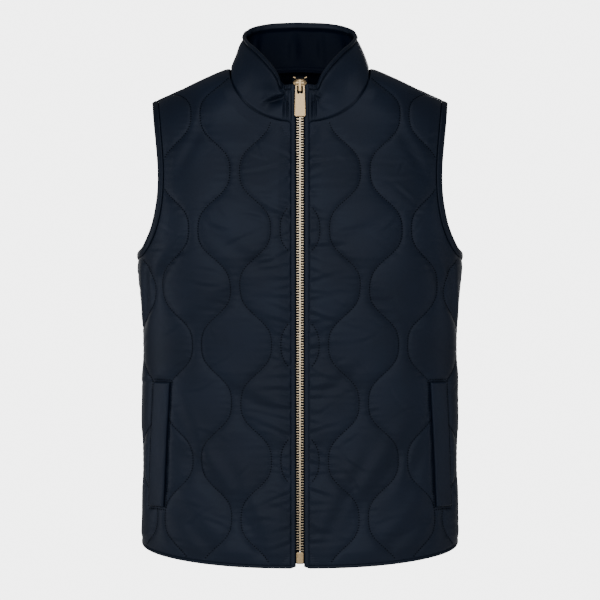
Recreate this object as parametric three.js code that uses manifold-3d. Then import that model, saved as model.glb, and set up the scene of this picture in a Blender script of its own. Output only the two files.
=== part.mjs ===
// Quilted vest, zipped up to a stand collar and filled out as when worn, in millimetres.
// +Z is up and the front faces -Y. The origin is the middle of the shoulder line, level with the points
// where the collar meets the shoulder seams. Left and right are the wearer's, so left is +X.
import * as THREE from 'three';
import { mergeVertices } from 'three/addons/utils/BufferGeometryUtils.js';
import Module from 'manifold-3d';

const wasm = await Module();
wasm.setup();

// Cloth and seams
const SEAM_GAP = 0.3;          // pieces lie this far apart where they are sewn
const CLOTH = 2.2;             // wall at a stitch line
const PUFF = 5.2;              // rise of the filling between two stitch lines
const PUFF_ROUND = 0.6;        // below 1 the filling rises steeply at a line and is flat between
const PRESSED_EDGE = 22;       // the filling reaches its full height this far from a seam
const PRESSED_ROUND = 0.7;
const BINDING_OUT = 3.2;       // outer face of a binding above the inside of the cloth
const BINDING_IN = -0.5;       // inner face of a binding
const BINDING_EDGE = 2.6;      // its outer face where it meets the cloth or folds over

// Form of the body of the vest, level by level: half width, and depth to the front and to the back
const LEVELS = [
  { z: -680, half: 216, front: 94, back: 88 },
  { z: -600, half: 213.5, front: 92, back: 87 },
  { z: -500, half: 212, front: 90, back: 84 },
  { z: -400, half: 212, front: 92, back: 82 },
  { z: -320, half: 215, front: 97, back: 86 },
  { z: -255, half: 221, front: 100, back: 92 },
  { z: -180, half: 220, front: 97, back: 96 },
  { z: -110, half: 218, front: 84, back: 92 },
  { z: -75, half: 218, front: 75, back: 85 },
  { z: -30, half: 218, front: 73, back: 79 },
];
const ROUNDNESS = 2.6;         // exponent of the superellipse of a level section
const REFERENCE_LEVEL = -400;  // the cloth is measured round this section

// Shoulder line
const NECK_HALF = 97;          // collar to centre, along the shoulder line
const SHOULDER_SLOPE = 0.46;
const RIDGE_RISE = 20;         // the line runs on up to this height behind the neck
const ROLL = 58;               // height over which the cloth turns over the shoulder
const SEAM_FORWARD = 10;       // shoulder seam in front of the ridge at the armhole
const SHOULDER_GAP = 0.6;      // between the two panels there

// Quilting: upright wavy stitch lines, neighbours in opposite phase
const LINE_PITCH = 53.5;
const WAVE = 20.5;
const WAVE_THIRD = 0.077;      // third harmonic, which rounds the bulges
const HALF_PERIOD = 77.5;
const TOP_CREST = -65;
const FRONT_FIRST_LINE = 5;
const GAP_COLUMNS = 4;         // grid columns between two lines, and rows in a half period
const PERIODS_ABOVE = 3;       // half periods of cloth above the top crest, before it is cut
const PERIODS_IN_ALL = 13;
const CUTTER = { low: -4, high: 30 };
const INSIDE_STEP = 2;         // the plain inside has every second point
const INSIDE_RIPPLE = 0.02;    // keeps the inside's own points when the panel is cut out

// Seams of the front as seen from the front, from the shoulder down; the back has the same armhole
const ARMHOLE = [
  { seamX: 189.5, seamZ: -70, edgeX: 199.5, edgeZ: -68 },
  { seamX: 185.5, seamZ: -105, edgeX: 195, edgeZ: -104 },
  { seamX: 183.3, seamZ: -140, edgeX: 192, edgeZ: -139 },
  { seamX: 184, seamZ: -172, edgeX: 192.3, edgeZ: -169 },
  { seamX: 188, seamZ: -201, edgeX: 196.3, edgeZ: -197 },
  { seamX: 194, seamZ: -223, edgeX: 201.5, edgeZ: -217 },
  { seamX: 203, seamZ: -242, edgeX: 208.5, edgeZ: -233 },
  { seamX: 212.5, seamZ: -254, edgeX: 214.5, edgeZ: -243.5 },
];
const SHOULDER_TIP = { seamX: 195, edgeX: 203.5 };
const UNDERARM = { seamZ: -261, edgeZ: -250.5 };

// Section of an armhole binding: share of the way from its seam to its edge, and height above the cloth
const ARMHOLE_SECTION = [
  { share: 0.04, height: BINDING_IN },
  { share: 0.04, height: BINDING_EDGE },
  { share: 0.2, height: BINDING_OUT },
  { share: 0.8, height: BINDING_OUT },
  { share: 1, height: BINDING_OUT / 2 },
  { share: 0.85, height: BINDING_IN },
];

// Collar: its seam on the body, and its top edge, from the zip round to the centre of the back
const COLLAR = [
  { side: -1, seamX: 12.3, seamZ: -75.3, topX: 12.3, topY: -75.5, topZ: -24 },
  { side: -1, seamX: 24, seamZ: -74.3, topX: 23, topY: -75, topZ: -24 },
  { side: -1, seamX: 38, seamZ: -71, topX: 29.5, topY: -70, topZ: -10 },
  { side: -1, seamX: 55, seamZ: -64, topX: 41, topY: -60, topZ: 7 },
  { side: -1, seamX: 72, seamZ: -51.3, topX: 58, topY: -42, topZ: 26.5 },
  { side: -1, seamX: 86, seamZ: -34, topX: 69.5, topY: -22, topZ: 38 },
  { side: -1, seamX: 94, seamZ: -17, topX: 75.5, topY: -3, topZ: 47 },
  { side: 1, seamX: 97, seamZ: 0, topX: 77.5, topY: 14, topZ: 54 },
  { side: 1, seamX: 90, seamZ: 0.2, topX: 74, topY: 30, topZ: 62 },
  { side: 1, seamX: 70, seamZ: 1.6, topX: 61, topY: 43, topZ: 68.5 },
  { side: 1, seamX: 40, seamZ: 4.5, topX: 36, topY: 50, topZ: 73 },
  { side: 1, seamX: 0, seamZ: 7, topX: 0, topY: 52, topZ: 74.5 },
];
const COLLAR_WALL = 3;
const COLLAR_ROWS = 7;
const COLLAR_BINDING = 6.5;
const COLLAR_BINDING_OUT = 0.5; // the binding stands out by this much from both faces

// Creases of the collar, each a hollow with a ridge above it. The place runs from -1 at the left front edge
// over 0 at the back to 1 at the right one, and the rise from 0 at the seam to 1 at the top edge.
const COLLAR_CREASES = [
  { place: 0.81, rise: 0.5, reach: 0.1, width: 0.14, slant: 2.2, depth: 3.2 },
  { place: -0.86, rise: 0.62, reach: 0.06, width: 0.13, slant: -2.2, depth: 2 },
  { place: -0.6, rise: 0.5, reach: 0.1, width: 0.25, slant: -1, depth: 1.4 },
  { place: 0.42, rise: 0.5, reach: 0.12, width: 0.25, slant: 0.8, depth: 1.2 },
  { place: -0.12, rise: 0.5, reach: 0.06, width: 0.5, slant: 0, depth: 1.4 },
  { place: 0.1, rise: 0.55, reach: 0.05, width: 0.5, slant: 0, depth: 1.2 },
];
const RIDGE_SHARE = 0.6;       // height of a crease's ridge against the depth of its hollow
const RIDGE_OFFSET = 1.8;      // distance between the two, in widths
const CREASE_START = 0.06;     // the collar is held flat by the zip this far from its front edge
const COLLAR_GAP = 0.45;       // between the collar's foot and the cut edge of the body

// Hem
const STRIP_STEP = 24;
const HEM_BINDING = 4;
const HEM_GAP = 0.4;
const HEM_SWELL = 0.6;
const HEM = { front: -672, side: -645, back: -658, frontBend: 2.6, backBend: 2, cornerRise: 5 };

// Welt pockets: slanted strips on the fronts, near the side seams
const WELT = { topIn: 174, topOut: 196, bottomIn: 182.5, bottomOut: 203, topZ: -425, bottomZ: -595 };
const WELT_BASE = CLOTH + 0.4;
const WELT_THICK = 3.4;
const WELT_ROOM = 0.8;
const WELT_GAP = 0.35;
const WELT_ROWS = 11;
const WELT_COLUMNS = 5;

// Zip
const PLACKET = { inner: 6.5, outer: 12, low: -0.5, high: 1.9, bottom: -664.8, top: -24 };
const TAPE = { inner: 0.25, outer: 10.2, low: -2, high: -0.85, bottom: -667.5, top: -13.5 };
const CHAIN = { inner: -4.45, outer: 4.45, low: -0.5, high: 2.3, bottom: -651, top: -38.4 };
const SLIDER = { half: 9.2, nose: 6, top: -17, shoulder: -27, bottom: -38, low: 2.3, high: 5.4 };
const SLIDER_CORE = { half: 5.9, low: -0.5 };
const BRIDGE = { half: 2.2, top: -18.4, bottom: -34.9, leg: 3, under: 9.9, high: 11.8 };
const STOP = { inner: 5.6, outer: 9.6, bottom: -16.6, top: -13.9, low: -0.5, high: 2.6 };
const BOX = { half: 4.9, bottom: -667.7, top: -651.3, low: -0.1, high: 3.4 };
const TAB = { halfTop: 6.9, halfBottom: 7.7, top: -25.8, bottom: -68, low: 7.2, high: 9.2 };
const TAB_SLOT = { half: 4, top: -27.8, bottom: -36.9 };

const material = (color, roughness, metalness) =>
  new THREE.MeshStandardMaterial({ color, roughness, metalness });
const SHELL_CLOTH = material(0x1b232d, 0.55, 0);
const BINDING_TAPE = material(0x161d26, 0.6, 0);
const ZIP_TAPE = material(0x0e1115, 0.8, 0);
const PALE_METAL = material(0xd3c1a8, 0.3, 1);

// Smooth value of one column of a table at a place along it
function along(rows, column, key, place) {
  const up = rows[0][key] < rows[rows.length - 1][key];
  const list = up ? rows : [...rows].reverse();
  const last = list.length - 1;
  if (place <= list[0][key]) return list[0][column];
  if (place >= list[last][key]) return list[last][column];
  const i = list.findIndex((row) => row[key] > place) - 1;
  const slope = (k) => {
    const a = list[Math.max(0, k - 1)];
    const b = list[Math.min(last, k + 1)];
    return (b[column] - a[column]) / (b[key] - a[key]);
  };
  const span = list[i + 1][key] - list[i][key];
  const t = (place - list[i][key]) / span;
  const blend = t * t * (3 - 2 * t);
  const lean = span * t * (1 - t) * ((1 - t) * slope(i) - t * slope(i + 1));
  return list[i][column] + (list[i + 1][column] - list[i][column]) * blend + lean;
}
const level = (column, z) => along(LEVELS, column, 'z', z);

// Quarter of the reference section, from the centre line to the side, with the cloth's length to each point
const SECTION_STEPS = 600;
const SECTION = [];
for (let i = 0; i <= SECTION_STEPS; i += 1) {
  const angle = (Math.PI / 2) * (i / SECTION_STEPS);
  const across = Math.sin(angle) ** (2 / ROUNDNESS);
  const out = Math.max(0, Math.cos(angle)) ** (2 / ROUNDNESS);
  const x = across * level('half', REFERENCE_LEVEL);
  const y = out * level('front', REFERENCE_LEVEL);
  const before = SECTION[i - 1];
  const length = before ? before.length + Math.hypot(x - before.x, y - before.y) : 0;
  SECTION.push({ across, out, x, y, length });
}
const SIDE = SECTION[SECTION_STEPS].length;

function sectionAt(key, value) {
  let low = 0;
  let high = SECTION_STEPS;
  while (high - low > 1) {
    const middle = (low + high) >> 1;
    if (SECTION[middle][key] <= value) low = middle;
    else high = middle;
  }
  const [before, after] = [SECTION[low], SECTION[high]];
  const share = THREE.MathUtils.clamp((value - before[key]) / (after[key] - before[key]), 0, 1);
  const mix = (name) => before[name] + (after[name] - before[name]) * share;
  return { across: mix('across'), out: mix('out'), length: mix('length') };
}

function ridge(x) {
  const far = Math.abs(x);
  if (far > NECK_HALF) return -SHOULDER_SLOPE * (far - NECK_HALF);
  return RIDGE_RISE * (1 - (far / NECK_HALF) ** 2);
}

// The turn over the shoulder at x: where it starts, its depth there, and the cloth's length over it
function turn(side, x, out) {
  const start = ridge(x) - ROLL;
  const depth = level(side < 0 ? 'front' : 'back', start) * out;
  return { start, depth, length: (Math.PI / 2) * Math.sqrt((ROLL * ROLL + depth * depth) / 2) };
}

// Point of the cloth's inside from its place on the flat cloth: round from the centre line, and up
function clothPoint(side, round, up) {
  const place = sectionAt('length', Math.min(Math.abs(round), SIDE));
  const x = Math.sign(round) * place.across * level('half', up);
  const over = turn(side, x, place.out);
  if (up <= over.start) {
    return new THREE.Vector3(x, side * level(side < 0 ? 'front' : 'back', up) * place.out, up);
  }
  const angle = ((up - over.start) / over.length) * (Math.PI / 2);
  return new THREE.Vector3(x, side * over.depth * Math.cos(angle), over.start + ROLL * Math.sin(angle));
}

function clothNormal(side, round, up) {
  const small = 0.5;
  const from = Math.min(Math.abs(round), SIDE - small) * (Math.sign(round) || 1);
  const acrossStep = clothPoint(side, from + small, up).sub(clothPoint(side, from - small, up));
  const upStep = clothPoint(side, from, up + small).sub(clothPoint(side, from, up - small));
  const normal = acrossStep.cross(upStep).normalize();
  if (Math.abs(round) >= SIDE - small) return new THREE.Vector3(Math.sign(round), 0, 0);
  return side < 0 ? normal : normal.negate();
}

const laid = (side, round, up, height) =>
  clothPoint(side, round, up).addScaledVector(clothNormal(side, round, up), height);

// Place on the flat cloth of the point that is seen at x and z
function unroll(side, x, z) {
  const place = sectionAt('across', Math.abs(x) / level('half', z));
  const over = turn(side, x, place.out);
  if (z <= over.start) return [Math.sign(x) * place.length, z];
  const angle = Math.asin(Math.min(1, (z - over.start) / ROLL));
  return [Math.sign(x) * place.length, over.start + over.length * (angle / (Math.PI / 2))];
}

function hemHeight(side, round) {
  const share = Math.abs(round) / SIDE;
  if (side > 0) return HEM.back + (HEM.side - HEM.back) * share ** HEM.backBend;
  const corner = HEM.cornerRise * Math.max(0, 1 - Math.abs(round) / PLACKET.outer);
  return HEM.front + (HEM.side - HEM.front) * share ** HEM.frontBend + corner;
}

// A closed body from a geometry, with shared corners
function closed(geometry) {
  const bare = geometry.index ? geometry.toNonIndexed() : geometry;
  bare.deleteAttribute('normal');
  bare.deleteAttribute('uv');
  return mergeVertices(bare, 1e-4);
}

function toManifold(geometry) {
  const body = closed(geometry);
  return new wasm.Manifold(new wasm.Mesh({
    numProp: 3,
    vertProperties: new Float32Array(body.attributes.position.array),
    triVerts: new Uint32Array(body.index.array),
  }));
}

function fromPoints(points, corners) {
  const numbers = points.flatMap((p) => [p.x, p.y, p.z]);
  const geometry = new THREE.BufferGeometry();
  geometry.setAttribute('position', new THREE.Float32BufferAttribute(numbers, 3));
  geometry.setIndex(corners);
  return geometry;
}

// The corners of a body's triangles, moved by a function
function fromManifold(body, move) {
  const mesh = body.getMesh();
  const points = [];
  for (let i = 0; i < mesh.vertProperties.length; i += mesh.numProp) {
    const [x, y, z] = mesh.vertProperties.slice(i, i + 3);
    points.push(move(x, y, z));
  }
  return facingOut(fromPoints(points, Array.from(mesh.triVerts)));
}

// A grid of corner numbers as triangles, turned over when asked
function gridFaces(number, rows, columns, flip) {
  const faces = [];
  for (let r = 0; r < rows - 1; r += 1) {
    for (let c = 0; c < columns - 1; c += 1) {
      const [a, b, d, e] = [number(r, c), number(r, c + 1), number(r + 1, c), number(r + 1, c + 1)];
      faces.push(flip ? [a, d, b] : [a, b, d], flip ? [b, d, e] : [b, e, d]);
    }
  }
  return faces;
}

// A wall with an outer and an inner face, its grid points given by a function of row, column and face
function wall(rows, columns, pointAt) {
  const points = [];
  for (const face of [0, 1]) {
    for (let r = 0; r < rows; r += 1) {
      for (let c = 0; c < columns; c += 1) {
        points.push(pointAt(r / (rows - 1), c / (columns - 1), face));
      }
    }
  }
  const number = (face, r, c) => (face * rows + r) * columns + c;
  const faces = [
    ...gridFaces((r, c) => number(1, r, c), rows, columns, false),
    ...gridFaces((r, c) => number(0, r, c), rows, columns, true),
    ...gridFaces((r, c) => number(r, 0, c), 2, columns, false),
    ...gridFaces((r, c) => number(r, rows - 1, c), 2, columns, true),
    ...gridFaces((r, c) => number(r, c, 0), 2, rows, true),
    ...gridFaces((r, c) => number(r, c, columns - 1), 2, rows, false),
  ];
  return facingOut(fromPoints(points, faces.flat()));
}

// A closed ring of like sections
function ring(sections) {
  const size = sections[0].length;
  const count = sections.length;
  const faces = gridFaces((r, c) => (r % count) * size + (c % size), count + 1, size + 1, false);
  return facingOut(fromPoints(sections.flat(), faces.flat()));
}

function volume(geometry) {
  const p = geometry.attributes.position;
  const corner = (i) => new THREE.Vector3().fromBufferAttribute(p, geometry.index.getX(i));
  let sum = 0;
  for (let i = 0; i < geometry.index.count; i += 3) {
    sum += corner(i).dot(corner(i + 1).cross(corner(i + 2)));
  }
  return sum;
}

function facingOut(geometry) {
  if (volume(geometry) > 0) return geometry;
  const index = geometry.index.array;
  for (let i = 0; i < index.length; i += 3) {
    [index[i + 1], index[i + 2]] = [index[i + 2], index[i + 1]];
  }
  return geometry;
}

// The other side of the vest
function mirrored(geometry) {
  return facingOut(geometry.clone().scale(-1, 1, 1));
}

// Stitch line number i at a height, on cloth whose first line is at start
function stitchLine(start, i, up) {
  const phase = (Math.PI * (up - TOP_CREST)) / HALF_PERIOD;
  const swing = (Math.cos(phase) - WAVE_THIRD * Math.cos(3 * phase)) / (1 - WAVE_THIRD);
  return start + LINE_PITCH * i + (i % 2 === 0 ? 1 : -1) * WAVE * swing;
}

// Distance from a flat place to the nearest edge of an outline
function edgeDistance(outline, x, y) {
  const distances = outline.map(([ax, ay], i) => {
    const [bx, by] = outline[(i + 1) % outline.length];
    const [dx, dy] = [bx - ax, by - ay];
    const squared = Math.max(1e-9, dx * dx + dy * dy);
    const share = THREE.MathUtils.clamp(((x - ax) * dx + (y - ay) * dy) / squared, 0, 1);
    return Math.hypot(x - ax - dx * share, y - ay - dy * share);
  });
  return Math.min(...distances);
}

// Filled cloth before it is cut, lying flat: x is round, y is up, z is the height above the inside.
// The filling thins out towards the edges of the panel that it is cut for.
function quiltedCloth(start, firstLine, lastLine, outline) {
  const rows = PERIODS_IN_ALL * GAP_COLUMNS + 1;
  const columns = (lastLine - firstLine) * GAP_COLUMNS + 1;
  const place = (r, c) => {
    const up = TOP_CREST + HALF_PERIOD * (PERIODS_ABOVE - r / GAP_COLUMNS);
    const line = firstLine + Math.floor(Math.min(c, columns - 2) / GAP_COLUMNS);
    const share = (c - (line - firstLine) * GAP_COLUMNS) / GAP_COLUMNS;
    const left = stitchLine(start, line, up);
    const gap = stitchLine(start, line + 1, up) - left;
    const swell = (4 * share * (1 - share) * Math.min(1, gap / LINE_PITCH)) ** PUFF_ROUND;
    const x = left + gap * share;
    const pressed = Math.min(1, edgeDistance(outline, x, up) / PRESSED_EDGE) ** PRESSED_ROUND;
    return new THREE.Vector3(x, up, CLOTH + PUFF * swell * pressed);
  };
  const points = [];
  for (let r = 0; r < rows; r += 1) {
    for (let c = 0; c < columns; c += 1) points.push(place(r, c));
  }
  const top = (r, c) => r * columns + c;
  const insideRows = (rows - 1) / INSIDE_STEP + 1;
  const insideColumns = (columns - 1) / INSIDE_STEP + 1;
  const base = points.length;
  const inside = (r, c) => base + r * insideColumns + c;
  for (let r = 0; r < insideRows; r += 1) {
    for (let c = 0; c < insideColumns; c += 1) {
      const above = points[top(r * INSIDE_STEP, c * INSIDE_STEP)];
      points.push(new THREE.Vector3(above.x, above.y, (r + c) % 2 ? INSIDE_RIPPLE : -INSIDE_RIPPLE));
    }
  }
  const faces = [
    ...gridFaces(top, rows, columns, true),
    ...gridFaces(inside, insideRows, insideColumns, false),
  ];
  const hang = (count, low, high, flip) => {
    for (let k = 0; k < count - 1; k += 1) {
      const rim = [low(k)];
      for (let j = 0; j <= INSIDE_STEP; j += 1) rim.push(high(k * INSIDE_STEP + j));
      for (let j = 1; j < rim.length; j += 1) {
        const [a, b] = flip ? [rim[j], rim[j - 1]] : [rim[j - 1], rim[j]];
        faces.push([low(k + 1), a, b]);
      }
    }
  };
  hang(insideColumns, (k) => inside(0, k), (k) => top(0, k), false);
  hang(insideColumns, (k) => inside(insideRows - 1, k), (k) => top(rows - 1, k), true);
  hang(insideRows, (k) => inside(k, 0), (k) => top(k, 0), true);
  hang(insideRows, (k) => inside(k, insideColumns - 1), (k) => top(k, columns - 1), false);
  return toManifold(facingOut(fromPoints(points, faces.flat())));
}

// Body that keeps the cloth within an outline
function cutter(outline) {
  const shape = new THREE.Shape(outline.map(([x, y]) => new THREE.Vector2(x, y)));
  const depth = CUTTER.high - CUTTER.low;
  const geometry = new THREE.ExtrudeGeometry(shape, { depth, bevelEnabled: false });
  return toManifold(geometry.translate(0, 0, CUTTER.low));
}

// Flat cloth bent onto the form
const worn = (side, flat) =>
  fromManifold(flat, (round, up, height) => laid(side, round, up, height));

// Outlines on the flat cloth
function curve(points, count) {
  const corners = points.map(([x, y]) => new THREE.Vector3(x, y, 0));
  const line = new THREE.CatmullRomCurve3(corners, false, 'centripetal');
  return line.getPoints(count).map((p) => [p.x, p.y]);
}

const ridgeOnCloth = (side, x) => unroll(side, x, ridge(x));

function armholeLine(side, which) {
  const tip = ridgeOnCloth(side, SHOULDER_TIP[`${which}X`]);
  const rows = ARMHOLE.map((row) => unroll(side, row[`${which}X`], row[`${which}Z`]));
  return [tip, ...rows, [SIDE, UNDERARM[`${which}Z`]]];
}

const NECK_POINTS = 2;         // points of the neck seam for each row of the collar's table
function neckSeam(side) {
  const rows = COLLAR.filter((row) => row.side === side || row.seamX === NECK_HALF)
    .map((row) => unroll(side, row.seamX, Math.min(row.seamZ, ridge(row.seamX))));
  return curve(rows, NECK_POINTS * (rows.length - 1));
}

// The shoulder seam lies in front of the ridge by this much at the armhole, and on it at the neck
const shoulderShift = (side, forward) => side * forward - SHOULDER_GAP / 2;

const HEM_STEPS = 24;
const ARMHOLE_STEPS = 18;
const hemRound = (inner, i) => inner + ((SIDE - inner) * i) / HEM_STEPS;
const SIDE_EDGE = SIDE - SEAM_GAP / 2;

// Half outline of a panel: hem from the middle to the side, armhole, shoulder, neck
function halfOutline(side, inner) {
  const hem = [];
  for (let i = 0; i <= HEM_STEPS; i += 1) {
    const round = hemRound(inner, i);
    hem.push([Math.min(SIDE_EDGE, round), hemHeight(side, round) + HEM_BINDING + HEM_GAP]);
  }
  const armhole = curve(armholeLine(side, 'seam').reverse(), ARMHOLE_STEPS);
  armhole[0][0] = SIDE_EDGE;
  const tip = armhole.pop();
  const neck = neckSeam(side);
  if (side < 0) neck.reverse();
  const neckPoint = neck.shift();
  const tipSeam = [tip[0], tip[1] + shoulderShift(side, SEAM_FORWARD)];
  const neckPointSeam = [neckPoint[0], neckPoint[1] + shoulderShift(side, 0)];
  return [...hem, ...armhole, tipSeam, neckPointSeam, ...neck];
}

// A welt's flat place from its share along and across, with a margin round it
function weltPlace(lengthShare, widthShare, grow) {
  const corner = (x, z) => unroll(-1, x, z);
  const mix = (a, b, share) => a.map((value, i) => value + (b[i] - value) * share);
  const inner = mix(corner(WELT.bottomIn, WELT.bottomZ), corner(WELT.topIn, WELT.topZ), lengthShare);
  const outer = mix(corner(WELT.bottomOut, WELT.bottomZ), corner(WELT.topOut, WELT.topZ), lengthShare);
  const [round, up] = mix(inner, outer, widthShare);
  return [round + grow * (2 * widthShare - 1), up + grow * (2 * lengthShare - 1)];
}

function weltSolid(grow, low, high, put) {
  return wall(WELT_ROWS, WELT_COLUMNS, (r, c, face) => {
    const [round, up] = weltPlace(r, c, grow);
    const odd = (r * (WELT_ROWS - 1) + c * (WELT_COLUMNS - 1)) % 2;
    const ripple = odd ? INSIDE_RIPPLE : -INSIDE_RIPPLE;
    return put(round, up, face ? high : low + ripple);
  });
}

function frontPanel() {
  const outline = halfOutline(-1, PLACKET.outer + SEAM_GAP);
  const cloth = quiltedCloth(FRONT_FIRST_LINE, -1, 7, outline);
  const flat = (x, y, z) => new THREE.Vector3(x, y, z);
  const seat = weltSolid(WELT_ROOM, WELT_BASE - WELT_GAP, CUTTER.high, flat);
  return worn(-1, cloth.intersect(cutter(outline)).subtract(toManifold(seat)));
}

function backPanel() {
  const half = halfOutline(1, 0);
  const over = half.filter(([round]) => round > 0.01);
  const bottom = half[0];
  const top = half[half.length - 1];
  const mirroredHalf = over.map(([round, up]) => [-round, up]).reverse();
  const outline = [bottom, ...over, top, ...mirroredHalf];
  const cloth = quiltedCloth(LINE_PITCH / 2, -7, 6, outline);
  return worn(1, cloth.intersect(cutter(outline)));
}

// Binding round an armhole: from the shoulder down the front, under the arm and up the back
function armholeBinding() {
  const half = (side) => {
    const seam = curve(armholeLine(side, 'seam'), ARMHOLE_STEPS);
    const edge = curve(armholeLine(side, 'edge'), ARMHOLE_STEPS);
    return seam.map((place, i) => ARMHOLE_SECTION.map(({ share, height }) => {
      const round = place[0] + (edge[i][0] - place[0]) * share;
      const up = place[1] + (edge[i][1] - place[1]) * share;
      return laid(side, Math.min(SIDE, round), up, height);
    }));
  };
  const front = half(-1);
  const back = half(1).reverse().slice(1, -1);
  return ring([...front, ...back]);
}

// Binding along the whole hem, from one side of the zip round to the other
function hemBinding() {
  const stations = [];
  const inner = PLACKET.outer + SEAM_GAP;
  stations.push([-1, PLACKET.inner]);
  for (let i = 0; i <= HEM_STEPS; i += 1) stations.push([-1, hemRound(inner, i)]);
  for (let i = HEM_STEPS - 1; i > -HEM_STEPS; i -= 1) {
    stations.push([1, Math.sign(i) * hemRound(0, Math.abs(i))]);
  }
  for (let i = HEM_STEPS; i >= 0; i -= 1) stations.push([-1, -hemRound(inner, i)]);
  stations.push([-1, -PLACKET.inner]);
  return wall(3, stations.length, (r, c, face) => {
    const [side, round] = stations[Math.round(c * (stations.length - 1))];
    const low = hemHeight(side, round);
    const swell = r > 0 && r < 1 ? HEM_SWELL : 0;
    return laid(side, round, low + HEM_BINDING * r, face ? BINDING_EDGE + swell : BINDING_IN);
  });
}

// Foot of the collar on one side: the neck seam, moved a gap into the opening and out to the cloth's face
function collarFoot(side) {
  const seam = neckSeam(side);
  return seam.map(([round, up], i) => {
    const [before, after] = [seam[Math.max(0, i - 1)], seam[Math.min(seam.length - 1, i + 1)]];
    const run = new THREE.Vector2(after[0] - before[0], after[1] - before[1]).normalize();
    const moved = [round + side * run.y * COLLAR_GAP, up - side * run.x * COLLAR_GAP];
    const foot = laid(side, moved[0], moved[1], 0);
    const normal = clothNormal(side, moved[0], moved[1]);
    const outward = new THREE.Vector3(foot.x, foot.y, 0).normalize();
    return foot.addScaledVector(normal, CLOTH * Math.max(0, normal.dot(outward)));
  });
}

// Collar surface: place 0 at the zip to 1 at the centre of the back, rise 0 at the seam to 1 at the top
const COLLAR_FOOT = [...collarFoot(-1), ...collarFoot(1).slice(1)];
const COLLAR_TOP = new THREE.CatmullRomCurve3(
  COLLAR.map((row) => new THREE.Vector3(row.topX, row.topY, row.topZ)), false, 'centripetal');
const COLLAR_STATIONS = COLLAR_FOOT.length - 1;

function standPoint(place, rise) {
  const at = Math.min(1, Math.max(0, place)) * COLLAR_STATIONS;
  const i = Math.min(COLLAR_STATIONS - 1, Math.floor(at));
  const low = COLLAR_FOOT[i].clone().lerp(COLLAR_FOOT[i + 1], at - i);
  return low.lerp(COLLAR_TOP.getPoint(at / COLLAR_STATIONS), rise);
}

function standNormal(place) {
  const step = 0.02;
  const from = Math.min(1 - step, Math.max(step, place));
  const around = standPoint(from + step, 0.5).sub(standPoint(from - step, 0.5));
  const rise = standPoint(from, 1).sub(standPoint(from, 0));
  const normal = around.cross(rise).normalize();
  if (place > 1 - step) return new THREE.Vector3(0, normal.y, normal.z).normalize();
  return normal;
}

// Distance that the creases move the collar's wall out, none at its seam, top and front edges
function creased(signed, rise) {
  const held = Math.min(1, (1 - Math.abs(signed)) / CREASE_START);
  const fixed = held * Math.sin(Math.PI * THREE.MathUtils.clamp(rise, 0, 1));
  const moves = COLLAR_CREASES.map((crease) => {
    const away = signed - crease.place;
    const off = (rise - crease.rise - crease.slant * away) / crease.width;
    const hollow = Math.exp(-off * off);
    const above = RIDGE_SHARE * Math.exp(-((off - RIDGE_OFFSET) ** 2));
    return crease.depth * Math.exp(-((away / crease.reach) ** 2)) * (above - hollow);
  });
  return fixed * moves.reduce((sum, move) => sum + move, 0);
}

function standWall(riseFrom, riseTo, outFace, inFace, rows) {
  return wall(rows, 2 * COLLAR_STATIONS + 1, (r, c, face) => {
    const signed = 2 * c - 1;
    const place = 1 - Math.abs(signed);
    const height = standPoint(place, 1).distanceTo(standPoint(place, 0));
    const rise = riseFrom(height) + (riseTo(height) - riseFrom(height)) * r;
    const out = creased(signed, rise) + (face ? outFace : -inFace);
    const point = standPoint(place, rise).addScaledVector(standNormal(place), out);
    return signed > 0 ? point.setX(-point.x) : point;
  });
}

function collarWall() {
  const top = (height) => 1 - (COLLAR_BINDING + SEAM_GAP) / height;
  return standWall(() => 0, top, 0, COLLAR_WALL, COLLAR_ROWS);
}

function collarBinding() {
  const foot = (height) => 1 - COLLAR_BINDING / height;
  return standWall(foot, () => 1, COLLAR_BINDING_OUT, COLLAR_WALL + COLLAR_BINDING_OUT, 3);
}

// Straight strips and bars down the centre of the front, on the form's front line
function frontLine(x, z, height) {
  return new THREE.Vector3(x, -level('front', z) - height, z);
}

// Strips lying on each other bend at the same heights
function stripHeights(bottom, top) {
  const heights = [bottom];
  for (let z = Math.ceil(bottom / STRIP_STEP) * STRIP_STEP; z < top; z += STRIP_STEP) {
    if (z > bottom + 1 && z < top - 1) heights.push(z);
  }
  return [...heights, top];
}

function strip({ inner, outer, bottom, top, low, high }) {
  const heights = stripHeights(bottom, top);
  return wall(heights.length, 2, (r, c, face) => {
    const z = heights[Math.round(r * (heights.length - 1))];
    return frontLine(inner + (outer - inner) * c, z, face ? high : low);
  });
}

const weltPocket = () => weltSolid(0, WELT_BASE, WELT_BASE + WELT_THICK,
  (round, up, height) => laid(-1, round, up, height));

// Hard parts of the zip are cut from outlines in the plane of the front, z upward, and set out by height
function plate(outline, low, high, holes = []) {
  const corners = (line) => line.map(([x, z]) => new THREE.Vector2(x, z));
  const shape = new THREE.Shape(corners(outline));
  shape.holes = holes.map((hole) => new THREE.Path(corners(hole)));
  const geometry = new THREE.ExtrudeGeometry(shape, { depth: high - low, bevelEnabled: false });
  return geometry.rotateX(Math.PI / 2).translate(0, -low, 0);
}

// A rectangle with cut corners, or a trapezium of two half widths
const panelOutline = (halfBottom, halfTop, bottom, top, corner) => [
  [-halfBottom + corner, bottom], [halfBottom - corner, bottom], [halfBottom, bottom + corner],
  [halfTop, top - corner], [halfTop - corner, top], [-halfTop + corner, top],
  [-halfTop, top - corner], [-halfBottom, bottom + corner],
];

const depthAt = (z) => level('front', z);
const setOut = (geometry, z) => geometry.translate(0, -depthAt(z), 0);

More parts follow.
